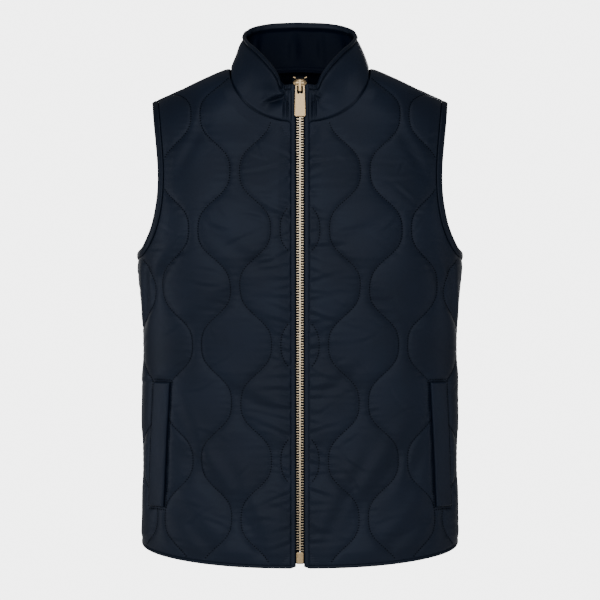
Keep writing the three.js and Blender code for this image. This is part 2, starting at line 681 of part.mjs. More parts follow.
// The slider's shield with the bridge that the tab hangs on
function zipSlider() {
  const { half, nose, top, shoulder, bottom, low, high } = SLIDER;
  const shield = [
    [-nose, bottom], [nose, bottom], [half, shoulder], [half, top - 2], [half - 2.5, top],
    [-half + 2.5, top], [-half, top - 2], [-half, shoulder],
  ];
  const core = panelOutline(SLIDER_CORE.half, SLIDER_CORE.half, bottom, top, 1);
  const block = (zLow, zHigh, from, to) =>
    toManifold(plate(panelOutline(BRIDGE.half, BRIDGE.half, zLow, zHigh, 0.4), from, to));
  const body = toManifold(plate(shield, low, high))
    .add(toManifold(plate(core, SLIDER_CORE.low, low + 1)))
    .add(block(BRIDGE.bottom, BRIDGE.bottom + BRIDGE.leg, high - 1, BRIDGE.high - 0.5))
    .add(block(BRIDGE.top - BRIDGE.leg, BRIDGE.top, high - 1, BRIDGE.high - 0.5))
    .add(block(BRIDGE.bottom + 0.5, BRIDGE.top - 0.5, BRIDGE.under, BRIDGE.high));
  return setOut(fromManifold(body, (x, y, z) => new THREE.Vector3(x, y, z)), bottom);
}

function pullTab() {
  const slot = [
    [-TAB_SLOT.half, TAB_SLOT.bottom], [-TAB_SLOT.half, TAB_SLOT.top],
    [TAB_SLOT.half, TAB_SLOT.top], [TAB_SLOT.half, TAB_SLOT.bottom],
  ];
  const outline = panelOutline(TAB.halfBottom, TAB.halfTop, TAB.bottom, TAB.top, 2);
  return setOut(plate(outline, TAB.low, TAB.high, [slot]), SLIDER.bottom);
}

function zipBox() {
  const { half, bottom, top, low, high } = BOX;
  return setOut(plate(panelOutline(half, half, bottom, top, 0.8), low, high), top);
}

function zipStop() {
  const { inner, outer, bottom, top, low, high } = STOP;
  const half = (outer - inner) / 2;
  const bar = plate(panelOutline(half, half, bottom, top, 0.5), low, high);
  return setOut(bar.translate(inner + half, 0, 0), bottom);
}

const vest = new THREE.Group();
function add(name, geometry, finish) {
  const mesh = new THREE.Mesh(geometry, finish);
  mesh.name = name;
  vest.add(mesh);
}
function addPair(name, geometry, finish) {
  add(`${name}_left`, geometry, finish);
  add(`${name}_right`, mirrored(closed(geometry)), finish);
}

addPair('front', frontPanel(), SHELL_CLOTH);
add('back', backPanel(), SHELL_CLOTH);
add('collar', collarWall(), SHELL_CLOTH);
add('collar_binding', collarBinding(), BINDING_TAPE);
addPair('armhole_binding', armholeBinding(), BINDING_TAPE);
add('hem_binding', hemBinding(), BINDING_TAPE);
addPair('placket', strip(PLACKET), SHELL_CLOTH);
addPair('welt', weltPocket(), SHELL_CLOTH);
addPair('zip_tape', strip(TAPE), ZIP_TAPE);
add('zip_chain', strip(CHAIN), PALE_METAL);
addPair('zip_stop', zipStop(), PALE_METAL);
add('zip_box', zipBox(), PALE_METAL);
add('zip_slider', zipSlider(), PALE_METAL);
add('pull_tab', pullTab(), PALE_METAL);

export default vest;
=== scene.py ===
"""Quilted vest: every visible piece, made as cloth, tape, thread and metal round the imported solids.

Lengths in the tables are millimetres. The front faces -Y, +Z is up, and left is the wearer's left, +X.
A place on a panel is its distance round the body from the centre line and its height up the cloth.
"""

import math
from functools import partial

import bmesh
import bpy
import numpy as np
from bpy.props import FloatProperty, FloatVectorProperty, PointerProperty
from mathutils import Matrix, Vector


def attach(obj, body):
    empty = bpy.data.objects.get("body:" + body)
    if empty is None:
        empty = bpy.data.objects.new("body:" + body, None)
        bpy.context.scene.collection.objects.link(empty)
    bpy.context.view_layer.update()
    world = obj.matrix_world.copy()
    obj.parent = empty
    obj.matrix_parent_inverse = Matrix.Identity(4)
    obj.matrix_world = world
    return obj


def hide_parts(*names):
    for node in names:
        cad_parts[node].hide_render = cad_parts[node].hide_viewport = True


bl_info = {
    "name": "Quilted vest",
    "version": (1, 0, 0),
    "blender": (4, 5, 0),
    "location": "3D View > Sidebar > Vest",
    "description": "Makes a quilted vest with its bindings, pockets and zip",
    "category": "Object",
}

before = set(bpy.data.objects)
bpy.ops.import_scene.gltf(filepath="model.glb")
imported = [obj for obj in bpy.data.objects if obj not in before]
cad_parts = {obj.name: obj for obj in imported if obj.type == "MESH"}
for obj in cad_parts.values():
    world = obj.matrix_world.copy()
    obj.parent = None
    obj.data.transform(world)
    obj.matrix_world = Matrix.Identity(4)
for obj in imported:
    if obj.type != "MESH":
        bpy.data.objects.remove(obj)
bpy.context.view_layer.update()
MM = 0.001
SEED = 7


def table(columns, *rows):
    """Rows of a short table, each value under its column's name."""
    return [dict(zip(columns.split(), row)) for row in rows]


# Form of the body of the vest
LEVELS = table(
    "z half front back",
    (-680, 216, 94, 88),
    (-600, 213.5, 92, 87),
    (-500, 214, 90, 84),
    (-400, 213.5, 92, 82),
    (-320, 215, 97, 86),
    (-255, 221, 100, 92),
    (-180, 220, 97, 96),
    (-110, 218, 84, 92),
    (-75, 218, 75, 85),
    (-30, 218, 73, 79),
)
ROUNDNESS = 2.6                # power of the body's section; 2 would be an ellipse
REFERENCE_LEVEL = -400         # the section's length round is measured here
NECK_HALF = 97                 # half width of the neck at the shoulder line
SHOULDER_SLOPE = 0.46
RIDGE_RISE = 20                # rise of the form at the middle of the neck
ROLL = 58                      # height over which the cloth turns over the shoulder
SEAM_FORWARD = 10              # shoulder seam in front of the ridge at the armhole
SHOULDER_LIFT = 3.2            # filling over the shoulder
LIFT_START = 9                 # it starts this far inside the neck's side
LIFT_LENGTH = 12               # and is full this much further out
NORMAL_STEP = 0.8              # the cloth's slope is measured over this to each side

# Quilting
WAVE_THIRD = 0.077             # third harmonic, which rounds the bulges
HALF_PERIOD = 77.5
TOP_CREST = -65
FIRST_LINE = {-1: 5.0, 1: 26.75}

# Seams as seen from the front or from above, and the outer edge of each binding
ARMHOLE = table(
    "seam edge",
    ((189.5, -70), (199.5, -68)),
    ((185.5, -105), (195, -104)),
    ((183.3, -140), (192, -139)),
    ((184, -172), (192.3, -169)),
    ((188, -201), (196.3, -197)),
    ((194, -223), (201.5, -217)),
    ((203, -242), (208.5, -233)),
    ((212.5, -254), (214.5, -243.5)),
)
SHOULDER_TIP = dict(seam=195, edge=203.5)
UNDERARM = dict(seam=-261, edge=-250.5)

COLLAR = table(
    "side seam top",
    (-1, (12.3, -75.3), (12.3, -75.5, -24)),
    (-1, (24, -74.3), (23, -75, -24)),
    (-1, (38, -71), (29.5, -70, -10)),
    (-1, (55, -64), (41, -60, 7)),
    (-1, (72, -51.3), (58, -42, 26.5)),
    (-1, (86, -34), (69.5, -22, 38)),
    (-1, (94, -17), (75.5, -3, 47)),
    (1, (97, 0), (77.5, 14, 54)),
    (1, (90, 0.2), (74, 30, 62)),
    (1, (70, 1.6), (61, 43, 68.5)),
    (1, (40, 4.5), (36, 50, 73)),
    (1, (0, 7), (0, 52, 74.5)),
)

HEM = dict(front=-673.9, side=-645, back=-658, front_bend=2.45, back_bend=2, corner_rise=5)
HEM_BINDING = 4
PLACKET_INNER = 6.5            # distance of a placket's edges from the centre
PLACKET_OUTER = 12
WELT = dict(top_in=174, top_out=196, bottom_in=182.5, bottom_out=203, top=-425, bottom=-595)


def linear(hex_colour):
    """sRGB hex to the linear colour that Blender wants."""
    channels = [int(hex_colour[i:i + 2], 16) / 255 for i in (1, 3, 5)]
    return [c / 12.92 if c <= 0.04045 else ((c + 0.055) / 1.055) ** 2.4 for c in channels] + [1.0]


class VestSizes(bpy.types.PropertyGroup):
    """Sizes and colours that a user would change"""

    puff: FloatProperty(
        name="Filling height", description="Rise of the filling between two stitch lines",
        default=3.0 * MM, min=0, soft_max=12 * MM, unit="LENGTH")
    line_pitch: FloatProperty(
        name="Quilting pitch", description="Distance between two stitch lines",
        default=53.5 * MM, unit="LENGTH")
    wave: FloatProperty(
        name="Quilting wave", description="Swing of a stitch line to each side",
        default=20.5 * MM, unit="LENGTH")
    stitch_pitch: FloatProperty(
        name="Stitch pitch", description="Distance from one quilting stitch to the next",
        default=3.4 * MM, unit="LENGTH")
    shell_colour: FloatVectorProperty(
        name="Shell", description="Colour of the outer cloth", subtype="COLOR", size=3,
        default=linear("#0f1725")[:3], min=0, max=1)
    lining_colour: FloatVectorProperty(
        name="Lining", description="Colour of the inner cloth", subtype="COLOR", size=3,
        default=linear("#010818")[:3], min=0, max=1)


def sizes():
    return bpy.context.scene.vest_sizes


# Form

def along(rows, column, key, place):
    """Smooth value of a table's column at places along its key."""
    ordered = sorted(rows, key=lambda row: row[key])
    keys = np.array([row[key] for row in ordered], float)
    values = np.array([row[column] for row in ordered], float)
    slopes = np.empty(len(keys))
    slopes[1:-1] = (values[2:] - values[:-2]) / (keys[2:] - keys[:-2])
    slopes[0] = (values[1] - values[0]) / (keys[1] - keys[0])
    slopes[-1] = (values[-1] - values[-2]) / (keys[-1] - keys[-2])
    place = np.clip(place, keys[0], keys[-1])
    i = np.clip(np.searchsorted(keys, place, side="right") - 1, 0, len(keys) - 2)
    span = keys[i + 1] - keys[i]
    t = (place - keys[i]) / span
    blend = t * t * (3 - 2 * t)
    lean = span * t * (1 - t) * ((1 - t) * slopes[i] - t * slopes[i + 1])
    return values[i] + (values[i + 1] - values[i]) * blend + lean


def level(column, z):
    return along(LEVELS, column, "z", z)


ANGLES = np.linspace(0, math.pi / 2, 601)
ACROSS = np.sin(ANGLES) ** (2 / ROUNDNESS)
OUT = np.maximum(0, np.cos(ANGLES)) ** (2 / ROUNDNESS)
LENGTHS = np.concatenate([[0], np.cumsum(np.hypot(
    np.diff(ACROSS) * level("half", REFERENCE_LEVEL),
    np.diff(OUT) * level("front", REFERENCE_LEVEL)))])
SIDE = float(LENGTHS[-1])


def ridge(x):
    far = np.abs(x)
    inside = RIDGE_RISE * (1 - (far / NECK_HALF) ** 2)
    return np.where(far > NECK_HALF, -SHOULDER_SLOPE * (far - NECK_HALF), inside)


def turn(side, x, out):
    """Where the cloth starts to turn over the shoulder, its depth there and its length over the turn."""
    start = ridge(x) - ROLL
    depth = level("front" if side < 0 else "back", start) * out
    return start, depth, (math.pi / 2) * np.sqrt((ROLL ** 2 + depth ** 2) / 2)


def cloth_point(side, around, up):
    """Points of the cloth's inside, in millimetres."""
    around, up = np.broadcast_arrays(np.asarray(around, float), np.asarray(up, float))
    far = np.minimum(np.abs(around), SIDE)
    out = np.interp(far, LENGTHS, OUT)
    x = np.sign(around) * np.interp(far, LENGTHS, ACROSS) * level("half", up)
    start, depth, length = turn(side, x, out)
    over = np.maximum(0, up - start)
    angle = over / length * (math.pi / 2)
    low = level("front" if side < 0 else "back", up) * out
    lean = depth - level("front" if side < 0 else "back", start - 1) * out
    eased = depth * np.cos(angle) + lean * over * np.maximum(0, 1 - over / length) ** 2
    y = side * np.where(up <= start, low, eased)
    roll = ROLL + SHOULDER_LIFT * np.clip((np.abs(x) - NECK_HALF + LIFT_START) / LIFT_LENGTH, 0, 1)
    z = np.where(up <= start, up, start + roll * np.sin(angle))
    return np.stack([x, y, z], axis=-1)


def cloth_normal(side, around, up):
    around, up = np.broadcast_arrays(np.asarray(around, float), np.asarray(up, float))
    step = NORMAL_STEP
    inside = np.clip(around, -SIDE + step, SIDE - step)
    across = cloth_point(side, inside + step, up) - cloth_point(side, inside - step, up)
    rise = cloth_point(side, inside, up + step) - cloth_point(side, inside, up - step)
    normal = -side * np.cross(across, rise)
    return normal / np.linalg.norm(normal, axis=-1, keepdims=True)


def laid(side, around, up, height):
    """Points lying on the cloth at a height above its inside."""
    lift = np.asarray(height, float)[..., None] * cloth_normal(side, around, up)
    return cloth_point(side, around, up) + lift


def unroll(side, x, z):
    """Place on the flat cloth of the point that is seen at x and z."""
    share = np.abs(x) / level("half", z)
    out = np.interp(share, ACROSS, OUT)
    start, _, length = turn(side, x, out)
    angle = np.arcsin(np.clip((z - start) / ROLL, 0, 1))
    up = np.where(z <= start, z, start + length * angle / (math.pi / 2))
    return np.array([np.sign(x) * np.interp(share, ACROSS, LENGTHS), float(up)])


def hem_height(side, around):
    share = np.abs(around) / SIDE
    if side > 0:
        return HEM["back"] + (HEM["side"] - HEM["back"]) * share ** HEM["back_bend"]
    corner = HEM["corner_rise"] * np.maximum(0, 1 - np.abs(around) / PLACKET_OUTER)
    return HEM["front"] + (HEM["side"] - HEM["front"]) * share ** HEM["front_bend"] + corner


# Curves

CURVE_STEPS = 24               # points between two of the given ones, before they are spaced evenly


def mixed(a, b, t, start, end):
    """Goes straight from a, where t is at the start, to b, where it is at the end."""
    return a + (b - a) * (t - start) / (end - start)


def smooth_curve(points, count):
    """Even points on a smooth curve through the given ones."""
    p = np.array(points, float)
    p = np.vstack([2 * p[0] - p[1], p, 2 * p[-1] - p[-2]])
    pieces = []
    for k in range(1, len(p) - 2):
        a, b, c, d = p[k - 1:k + 3]
        gaps = [max(1e-6, np.linalg.norm(step)) ** 0.5 for step in (b - a, c - b, d - c)]
        k0, k1, k2, k3 = np.cumsum([0] + gaps)
        t = np.linspace(k1, k2, CURVE_STEPS, endpoint=False)[:, None]
        ab = mixed(a, b, t, k0, k1)
        bc = mixed(b, c, t, k1, k2)
        cd = mixed(c, d, t, k2, k3)
        pieces.append(mixed(mixed(ab, bc, t, k0, k2), mixed(bc, cd, t, k1, k3), t, k1, k2))
    return evenly(np.vstack([*pieces, p[-2][None]]), count)


def evenly(points, count):
    points = np.asarray(points, float)
    run = np.concatenate([[0], np.cumsum(np.linalg.norm(np.diff(points, axis=0), axis=1))])
    places = np.linspace(0, run[-1], count)
    return np.stack([np.interp(places, run, points[:, k]) for k in range(points.shape[1])], axis=1)


def section_spot(section, share, steps):
    """Point of a binding's section at each share of the way round it."""
    return smooth_curve(section, steps + 1)[np.rint(share * steps).astype(int)]


def armhole_line(side, which, count):
    x = SHOULDER_TIP[which]
    rows = [unroll(side, x, ridge(x))]
    rows += [unroll(side, *row[which]) for row in ARMHOLE]
    rows.append(np.array([SIDE, UNDERARM[which]]))
    return smooth_curve(rows, count)


def neck_seam(side, count):
    rows = [row["seam"] for row in COLLAR if row["side"] == side or row["seam"][0] == NECK_HALF]
    return smooth_curve([unroll(side, x, min(z, float(ridge(x)))) for x, z in rows], count)


SEAM_OVERLAP = 1.2             # the two sides of a shoulder seam lap by this much


def shoulder_line(side, count):
    """Top edge of a panel along the shoulder, from the neck to the armhole."""
    x = np.linspace(NECK_HALF, SHOULDER_TIP["seam"], 40)
    rows = np.array([unroll(side, place, float(ridge(place))) for place in x])
    share = (x - NECK_HALF) / (SHOULDER_TIP["seam"] - NECK_HALF)
    rows[:, 1] += side * SEAM_FORWARD * share + SEAM_OVERLAP * np.sin(math.pi * share)
    return evenly(rows, count)


# Meshes

BODY_MIDDLE = Vector((0, 0, -0.35))
WELD = 0.02                    # points of a tube nearer than this are one


def grid_mesh(columns, rows, place, mirror=1):
    """A grid whose points and flat places come from a function of the shares across and up."""
    bm = bmesh.new()
    bmesh.ops.create_grid(bm, x_segments=columns, y_segments=rows, size=0.5)
    shares = np.array([v.co[:2] for v in bm.verts]) + 0.5
    points, uv = place(shares[:, 0], shares[:, 1])
    layer = bm.loops.layers.uv.new("cloth")
    for vertex, point in zip(bm.verts, points * [mirror, 1, 1] * MM):
        vertex.co = point
    bm.verts.index_update()
    for face in bm.faces:
        for loop in face.loops:
            loop[layer].uv = uv[loop.vert.index]
    bm.normal_update()
    return bm


def finish_piece(name, bm, materials, slot, replaces=(), body="garment", smooth=True):
    """Makes the object; one that is named like a solid gets an ending to tell them apart."""
    if name in replaces:
        name += "_metal" if slot == "zip_metal" else "_cloth"
    mesh = bpy.data.meshes.new(name)
    bm.normal_update()
    bm.to_mesh(mesh)
    bm.free()
    piece = bpy.data.objects.new(name, mesh)
    bpy.context.scene.collection.objects.link(piece)
    for material in materials:
        mesh.materials.append(finishes()[material])
    if smooth:
        mesh.shade_smooth()
    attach(piece, body)
    if replaces:
        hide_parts(*replaces)
    return piece


def sheet_piece(name, size, place, thickness, mirror=1, materials=("Nylon taffeta plain",),
                slot="shell_cloth"):
    """A thickened sheet on a grid, facing out from the body; a second material is its lining."""
    bm = grid_mesh(*size, place, mirror)
    outward = sum((f.calc_center_median() - BODY_MIDDLE).dot(f.normal) * f.calc_area() for f in bm.faces)
    if outward < 0:
        bmesh.ops.reverse_faces(bm, faces=bm.faces[:])
    piece = finish_piece(name, bm, materials, slot, [name])
    modifier = piece.modifiers.new("Cloth thickness", "SOLIDIFY")
    modifier.thickness = thickness * MM
    modifier.offset = -1
    modifier.use_even_offset = False
    modifier.material_offset = len(materials) - 1
    modifier.material_offset_rim = 0
    return piece


def binding_piece(name, size, place, mirror=1):
    """A tube of folded tape on a grid whose two long edges meet, with its ends closed."""
    bm = grid_mesh(*size, place, mirror)
    bmesh.ops.remove_doubles(bm, verts=bm.verts, dist=WELD * MM)
    rim = [e for e in bm.edges if e.is_boundary]
    if rim:
        bmesh.ops.holes_fill(bm, edges=rim, sides=0)
    bmesh.ops.recalc_face_normals(bm, faces=bm.faces)
    return finish_piece(name, bm, ["Nylon binding"], "binding_tape", [name])


def repeated(name, template, origins, axes, material, slot, replaces=(), smooth=True):
    """One joined piece of many copies of a small bmesh shape, each with its own three axes."""
    shape = np.array([v.co for v in template.verts])
    copy = bpy.data.meshes.new(name)
    template.to_mesh(copy)
    template.free()
    bm = bmesh.new()
    for points in origins[:, None, :] + np.einsum("vk,nkj->nvj", shape, axes):
        copy.vertices.foreach_set("co", points.astype(np.float32).ravel())
        bm.from_mesh(copy)
    bpy.data.meshes.remove(copy)
    return finish_piece(name, bm, [material], slot, replaces, smooth=smooth)


# Materials

def add_node(tree, kind, settings=None, **links):
    """Adds a shader node, sets its properties and socket values, and links its inputs."""
    node = tree.nodes.new(kind)
    for key, value in (settings or {}).items():
        if key.startswith("in_"):
            node.inputs[key[3:]].default_value = value
        else:
            setattr(node, key, value)
    for key, source in links.items():
        socket = node.inputs[int(key[1:]) if key[1:].isdigit() else key]
        tree.links.new(source, socket)
    return node


def maths(tree, operation, a, b=None):
    node = add_node(tree, "ShaderNodeMath", dict(operation=operation))
    for socket, value in zip(node.inputs, (a, b)):
        if isinstance(value, (int, float)):
            socket.default_value = value
        elif value is not None:
            tree.links.new(value, socket)
    return node.outputs[0]


def new_material(name):
    material = bpy.data.materials.new(name)
    material.use_nodes = True
    return material, material.node_tree, material.node_tree.nodes["Principled BSDF"]


def noise(tree, place, scale, detail=2.0):
    settings = {"in_Scale": scale, "in_Detail": detail}
    return add_node(tree, "ShaderNodeTexNoise", settings, Vector=place).outputs[0]


def two_tone(tree, shader, factor, colour, shares, ends=(0.0, 1.0)):
    """Gives the shader a colour that wanders between two shares of itself."""
    ramp = add_node(tree, "ShaderNodeValToRGB", Fac=factor)
    for stop, place, share in zip(ramp.color_ramp.elements, ends, shares):
        stop.position = place
        stop.color = [c * share for c in colour[:3]] + [1.0]
    tree.links.new(ramp.outputs[0], shader.inputs["Base Color"])


def bump(tree, shader, height, strength, distance):
    settings = {"in_Strength": strength, "in_Distance": distance}
    node = add_node(tree, "ShaderNodeBump", settings, Height=height)
    tree.links.new(node.outputs[0], shader.inputs["Normal"])


# Fine taffeta: 0.25 mm threads would not show, so the weave is drawn at 0.9 mm
WEAVE = 0.9
WEAVE_RELIEF = 0.012
CRUMPLE_RELIEF = 0.1


def cloth_material(name, colour, roughness, gloss, first_line=None):
    """Woven nylon taffeta, calendered to a soft satin: even, dark, with a faint weave and a slight sheen."""
    material, tree, shader = new_material(name)
    times = partial(maths, tree, "MULTIPLY")
    uv = add_node(tree, "ShaderNodeUVMap", dict(uv_map="cloth")).outputs[0]
    around, up = add_node(tree, "ShaderNodeSeparateXYZ", Vector=uv).outputs[:2]
    warp = maths(tree, "SINE", times(around, 2 * math.pi / WEAVE))
    weft = maths(tree, "SINE", times(up, 2 * math.pi / WEAVE))
    crumple = times(noise(tree, uv, 0.35), CRUMPLE_RELIEF)
    height = maths(tree, "ADD", times(times(warp, weft), WEAVE_RELIEF), crumple)
    if first_line is not None:
        height = maths(tree, "ADD", height, stitch_relief(tree, around, up, first_line))
    two_tone(tree, shader, noise(tree, uv, 0.012, 3.0), colour, (0.82, 1.16), (0.3, 0.7))
    bump(tree, shader, height, 1.0, MM)
    shader.inputs["Roughness"].default_value = roughness
    shader.inputs["Specular IOR Level"].default_value = gloss
    shader.inputs["Specular Tint"].default_value = linear("#d0daee")
    return material


HOLE_REACH = 1.1               # the dimple of a stitch dies away over this
PUCKER_REACH = 4.0             # and the small puckers beside it over this
HOLE_DEPTH = 0.1
PUCKER_DEPTH = 0.07


def stitch_relief(tree, around, up, first_line):
    """Height in millimetres of the dimples and short puckers at each quilting stitch."""
    s = sizes()
    pitch, wave = s.line_pitch / MM, s.wave / MM
    times, plus, minus, cosine = (partial(maths, tree, kind) for kind in (
        "MULTIPLY", "ADD", "SUBTRACT", "COSINE"))
    phase = times(minus(up, TOP_CREST), math.pi / HALF_PERIOD)
    swing = minus(cosine(phase), times(cosine(times(phase, 3)), WAVE_THIRD))
    swing = times(swing, wave / (1 - WAVE_THIRD))
    far = minus(maths(tree, "ABSOLUTE", around), first_line)
    even = maths(tree, "PINGPONG", minus(far, swing), pitch)
    odd = maths(tree, "PINGPONG", minus(plus(far, swing), pitch), pitch)
    distance = maths(tree, "MINIMUM", even, odd)
    near = maths(tree, "EXPONENT", times(distance, -1 / HOLE_REACH))
    wide = maths(tree, "EXPONENT", times(distance, -1 / PUCKER_REACH))
    beat = cosine(times(up, 2 * math.pi / (s.stitch_pitch / MM)))
    holes = times(near, plus(times(beat, HOLE_DEPTH), -HOLE_DEPTH))
    return plus(holes, times(wide, times(beat, PUCKER_DEPTH)))


def metal_material(name, hex_colour, roughness):
    """Brass plated a pale champagne and tumbled: bright, with soft fine scratches."""
    material, tree, shader = new_material(name)
    place = add_node(tree, "ShaderNodeTexCoord").outputs["Object"]
    scratches = noise(tree, place, 260.0, 3.0)
    settings = {"in_To Min": roughness * 0.8, "in_To Max": roughness * 1.3}
    spread = add_node(tree, "ShaderNodeMapRange", settings, Value=scratches)
    tree.links.new(spread.outputs[0], shader.inputs["Roughness"])
    two_tone(tree, shader, scratches, linear(hex_colour), (0.95, 1.0))
    bump(tree, shader, scratches, 0.12, 0.03 * MM)
    shader.inputs["Metallic"].default_value = 1.0
    return material


def thread_material(name, colour):
    """Polyester sewing thread, near black: partly its own colour, partly painted shade of its needle holes,
    so it reads as a row of dark dots.
    """
    material, tree, shader = new_material(name)
    place = add_node(tree, "ShaderNodeTexCoord").outputs["Object"]
    two_tone(tree, shader, noise(tree, place, 2500.0), colour, (0.6, 1.3))
    shader.inputs["Roughness"].default_value = 0.8
    shader.inputs["Specular IOR Level"].default_value = 0.04
    return material


def finishes():
    """The vest's materials, made once."""
    if "Nylon taffeta front" not in bpy.data.materials:
        shell = list(sizes().shell_colour)
        cloth_material("Nylon taffeta front", shell, 0.5, 0.25, FIRST_LINE[-1])
        cloth_material("Nylon taffeta back", shell, 0.5, 0.25, FIRST_LINE[1])
        cloth_material("Nylon taffeta plain", shell, 0.5, 0.25)
        cloth_material("Nylon binding", [c * 0.8 for c in shell], 0.46, 0.22)
        cloth_material("Taffeta lining", list(sizes().lining_colour), 0.42, 0.06)
        cloth_material("Woven zip tape", linear("#101318"), 0.8, 0.05)
        metal_material("Champagne plated brass", "#c2a77f", 0.3)
        # the teeth's copy of the brass is painted paler, a painted highlight standing in for the light the
        # teeth catch; its lower roughness is their polish
        metal_material("Polished brass painted paler for highlights", "#e2cfb0", 0.22)
        # near black thread: partly its own colour, partly painted shade of the needle holes
        thread_material("Near black thread with painted hole shade", linear("#04070c"))
    return bpy.data.materials


# Panels

def line_place(side, i, up):
    """Distance round of stitch line i at heights up the cloth."""
    s = sizes()
    phase = math.pi * (up - TOP_CREST) / HALF_PERIOD
    swing = (np.cos(phase) - WAVE_THIRD * np.cos(3 * phase)) / (1 - WAVE_THIRD)
    return FIRST_LINE[side] + s.line_pitch / MM * i + (1 if i % 2 == 0 else -1) * s.wave / MM * swing


LINE_NUMBERS = range(-2, 8)
STITCHED = 1.7                 # height of the cloth at a stitch line
GROOVE_HALF = 1.5              # half width of the flat strip that a line of stitches holds down
PRESSED_EDGE = 16              # the filling reaches its full height this far from a panel's edge
RIPPLE_LENGTH = 9.5            # from one small ripple beside a line of stitches to the next
RIPPLE_REACH = 9
RIPPLE_DEPTH = 0.4
FOLD_SHARE = 1.3               # the folds' depths are multiplied by this

# Soft folds of a front: middle, length, half width, slant in degrees and depth
FOLDS = table(
    "around up length width slant depth",
    (60, -585, 70, 9, 62, 1.3),
    (108, -560, 90, 12, 52, 1.5),
    (165, -520, 60, 9, 68, 1.1),
    (150, -620, 55, 10, 40, 1.3),
    (45, -430, 45, 8, 35, 0.9),
    (120, -330, 60, 10, -35, 0.9),
    (190, -290, 42, 7, -55, 1.5),
    (212, -300, 40, 6, -72, 1.4),
    (70, -230, 50, 9, 30, 0.8),
    (150, -120, 48, 8, -60, 0.9),
)


def fold_depth(around, up, shift):
    """Sum of the soft folds; the shift sets one panel's folds off from the other's."""
    total = np.zeros_like(around)
    for k, fold in enumerate(FOLDS):
        slide = shift * 14 * math.sin(1.7 * k + 1)
        dx = around - fold["around"] - slide
        dy = up - fold["up"] + 1.6 * slide
        slant = math.radians(fold["slant"] + shift * 9 * math.cos(2.3 * k))
        run = dx * math.cos(slant) + dy * math.sin(slant)
        off = -dx * math.sin(slant) + dy * math.cos(slant)
        ends = np.exp(-(run / fold["length"]) ** 4)
        total -= fold["depth"] * ends * np.exp(-(off / fold["width"]) ** 2)
        total += 0.55 * fold["depth"] * ends * np.exp(-((off - 1.9 * fold["width"]) / fold["width"]) ** 2)
    return total


# Small creases of a panel: how many, and the ranges their sizes are drawn from
WRINKLES = 90
WRINKLE = dict(height=(-640, -90), length=(8, 26), width=(1.6, 3.4), slant=0.45, bend=(-0.012, 0.012),
               depth=(0.25, 0.8))


def wrinkle_depth(around, up, seed):
    """Small uneven creases, most of them level or nearly so, where the cloth is held between two lines."""
    random = np.random.default_rng(SEED + seed)
    total = np.zeros_like(around)
    for _ in range(WRINKLES):
        place = random.uniform(14, SIDE - 6)
        height = random.uniform(*WRINKLE["height"])
        length = random.uniform(*WRINKLE["length"])
        width = random.uniform(*WRINKLE["width"])
        slant = random.normal(0, WRINKLE["slant"])
        bend = random.uniform(*WRINKLE["bend"])
        depth = random.uniform(*WRINKLE["depth"])
        dx, dy = around - place, up - height
        run = dx * math.cos(slant) + dy * math.sin(slant)
        off = (dy * math.cos(slant) - dx * math.sin(slant) - bend * run ** 2) / width
        near = np.exp(-(run / length) ** 2)
        total += depth * near * (0.7 * np.exp(-(off - 1.6) ** 2) - np.exp(-off ** 2))
    return total


def edge_distance(outline, points):
    """Distance of each flat place to the nearest edge of a closed outline."""
    nearest = np.full(len(points), 1e9)
    for a, b in zip(outline, np.roll(outline, -1, axis=0)):
        d = b - a
        share = np.clip(((points - a) @ d) / (d @ d + 1e-9), 0, 1)
        nearest = np.minimum(nearest, np.linalg.norm(points - a - share[:, None] * d, axis=1))
    return nearest


def quilt_height(side, around, up, edge, shift):
    """Height of the outer face above the inside, in millimetres."""
    far = np.abs(around)
    left = np.full_like(far, -1e9)
    right = np.full_like(far, 1e9)
    cell = np.zeros_like(far)
    for i in LINE_NUMBERS:
        line = line_place(side, i, up)
        cell = np.where((line <= far) & (line > left), i, cell)
        left = np.where(line <= far, np.maximum(left, line), left)
        right = np.where(line > far, np.minimum(right, line), right)
    gap = np.maximum(1, right - left - 2 * GROOVE_HALF)
    share = np.clip((far - left - GROOVE_HALF) / gap, 0, 1)
    pitch = sizes().line_pitch / MM
    swell = (4 * share * (1 - share)) ** 0.5 * np.minimum(1, gap / pitch) ** 0.7
    uneven = 1 + 0.1 * np.sin(2.1 * cell + 0.031 * up + shift) + 0.05 * np.sin(0.11 * up + 4 * cell)
    pressed = np.minimum(1, edge / PRESSED_EDGE) ** 0.7
    height = STITCHED + sizes().puff / MM * swell * pressed * uneven
    near = np.maximum(0, np.minimum(far - left, right - far) - GROOVE_HALF)
    ripple = np.sin(2 * math.pi * up / RIPPLE_LENGTH + 2 * np.sin(up / 23 + cell) + cell)
    ripple *= np.exp(-near / RIPPLE_REACH) * (1 - np.exp(-near / 2))
    height += RIPPLE_DEPTH * pressed * ripple
    height += FOLD_SHARE * fold_depth(around if side < 0 else far, up, shift) * pressed
    height += wrinkle_depth(around, up, int(10 * shift) + (0 if side < 0 else 50)) * np.sqrt(pressed)
    return height


# Puckers beside the zip, from the lowest to the highest, and the ranges their sizes are drawn from
LOWEST_PUCKER = -640.0
HIGHEST_PUCKER = -110
PUCKER = dict(depth=(0.8, 2.6), reach=(9, 30), tilt=(-0.45, 0.45), width=(2.2, 4.0), step=(9, 21))


def zip_puckers(around, up, shift):
    """Short level puckers where the front is sewn to the zip, uneven in place, length and depth."""
    random = np.random.default_rng(SEED + int(10 * (1 + shift)))
    total = np.zeros_like(around)
    height = LOWEST_PUCKER
    while height < HIGHEST_PUCKER:
        drawn = (random.uniform(*PUCKER[key]) for key in ("depth", "reach", "tilt", "width"))
        depth, reach, tilt, width = drawn
        away = np.abs(around) - PLACKET_OUTER
        off = (up - height - tilt * away) / width
        shape = 0.7 * np.exp(-(off - 1.7) ** 2) - np.exp(-off ** 2)
        total += depth * shape * np.exp(-away / reach)
        height += random.uniform(*PUCKER["step"])
    return total


EDGE_POINTS = 60               # points along an edge of a panel
HEM_LAP = 0.8                  # a panel reaches this far into the hem's binding


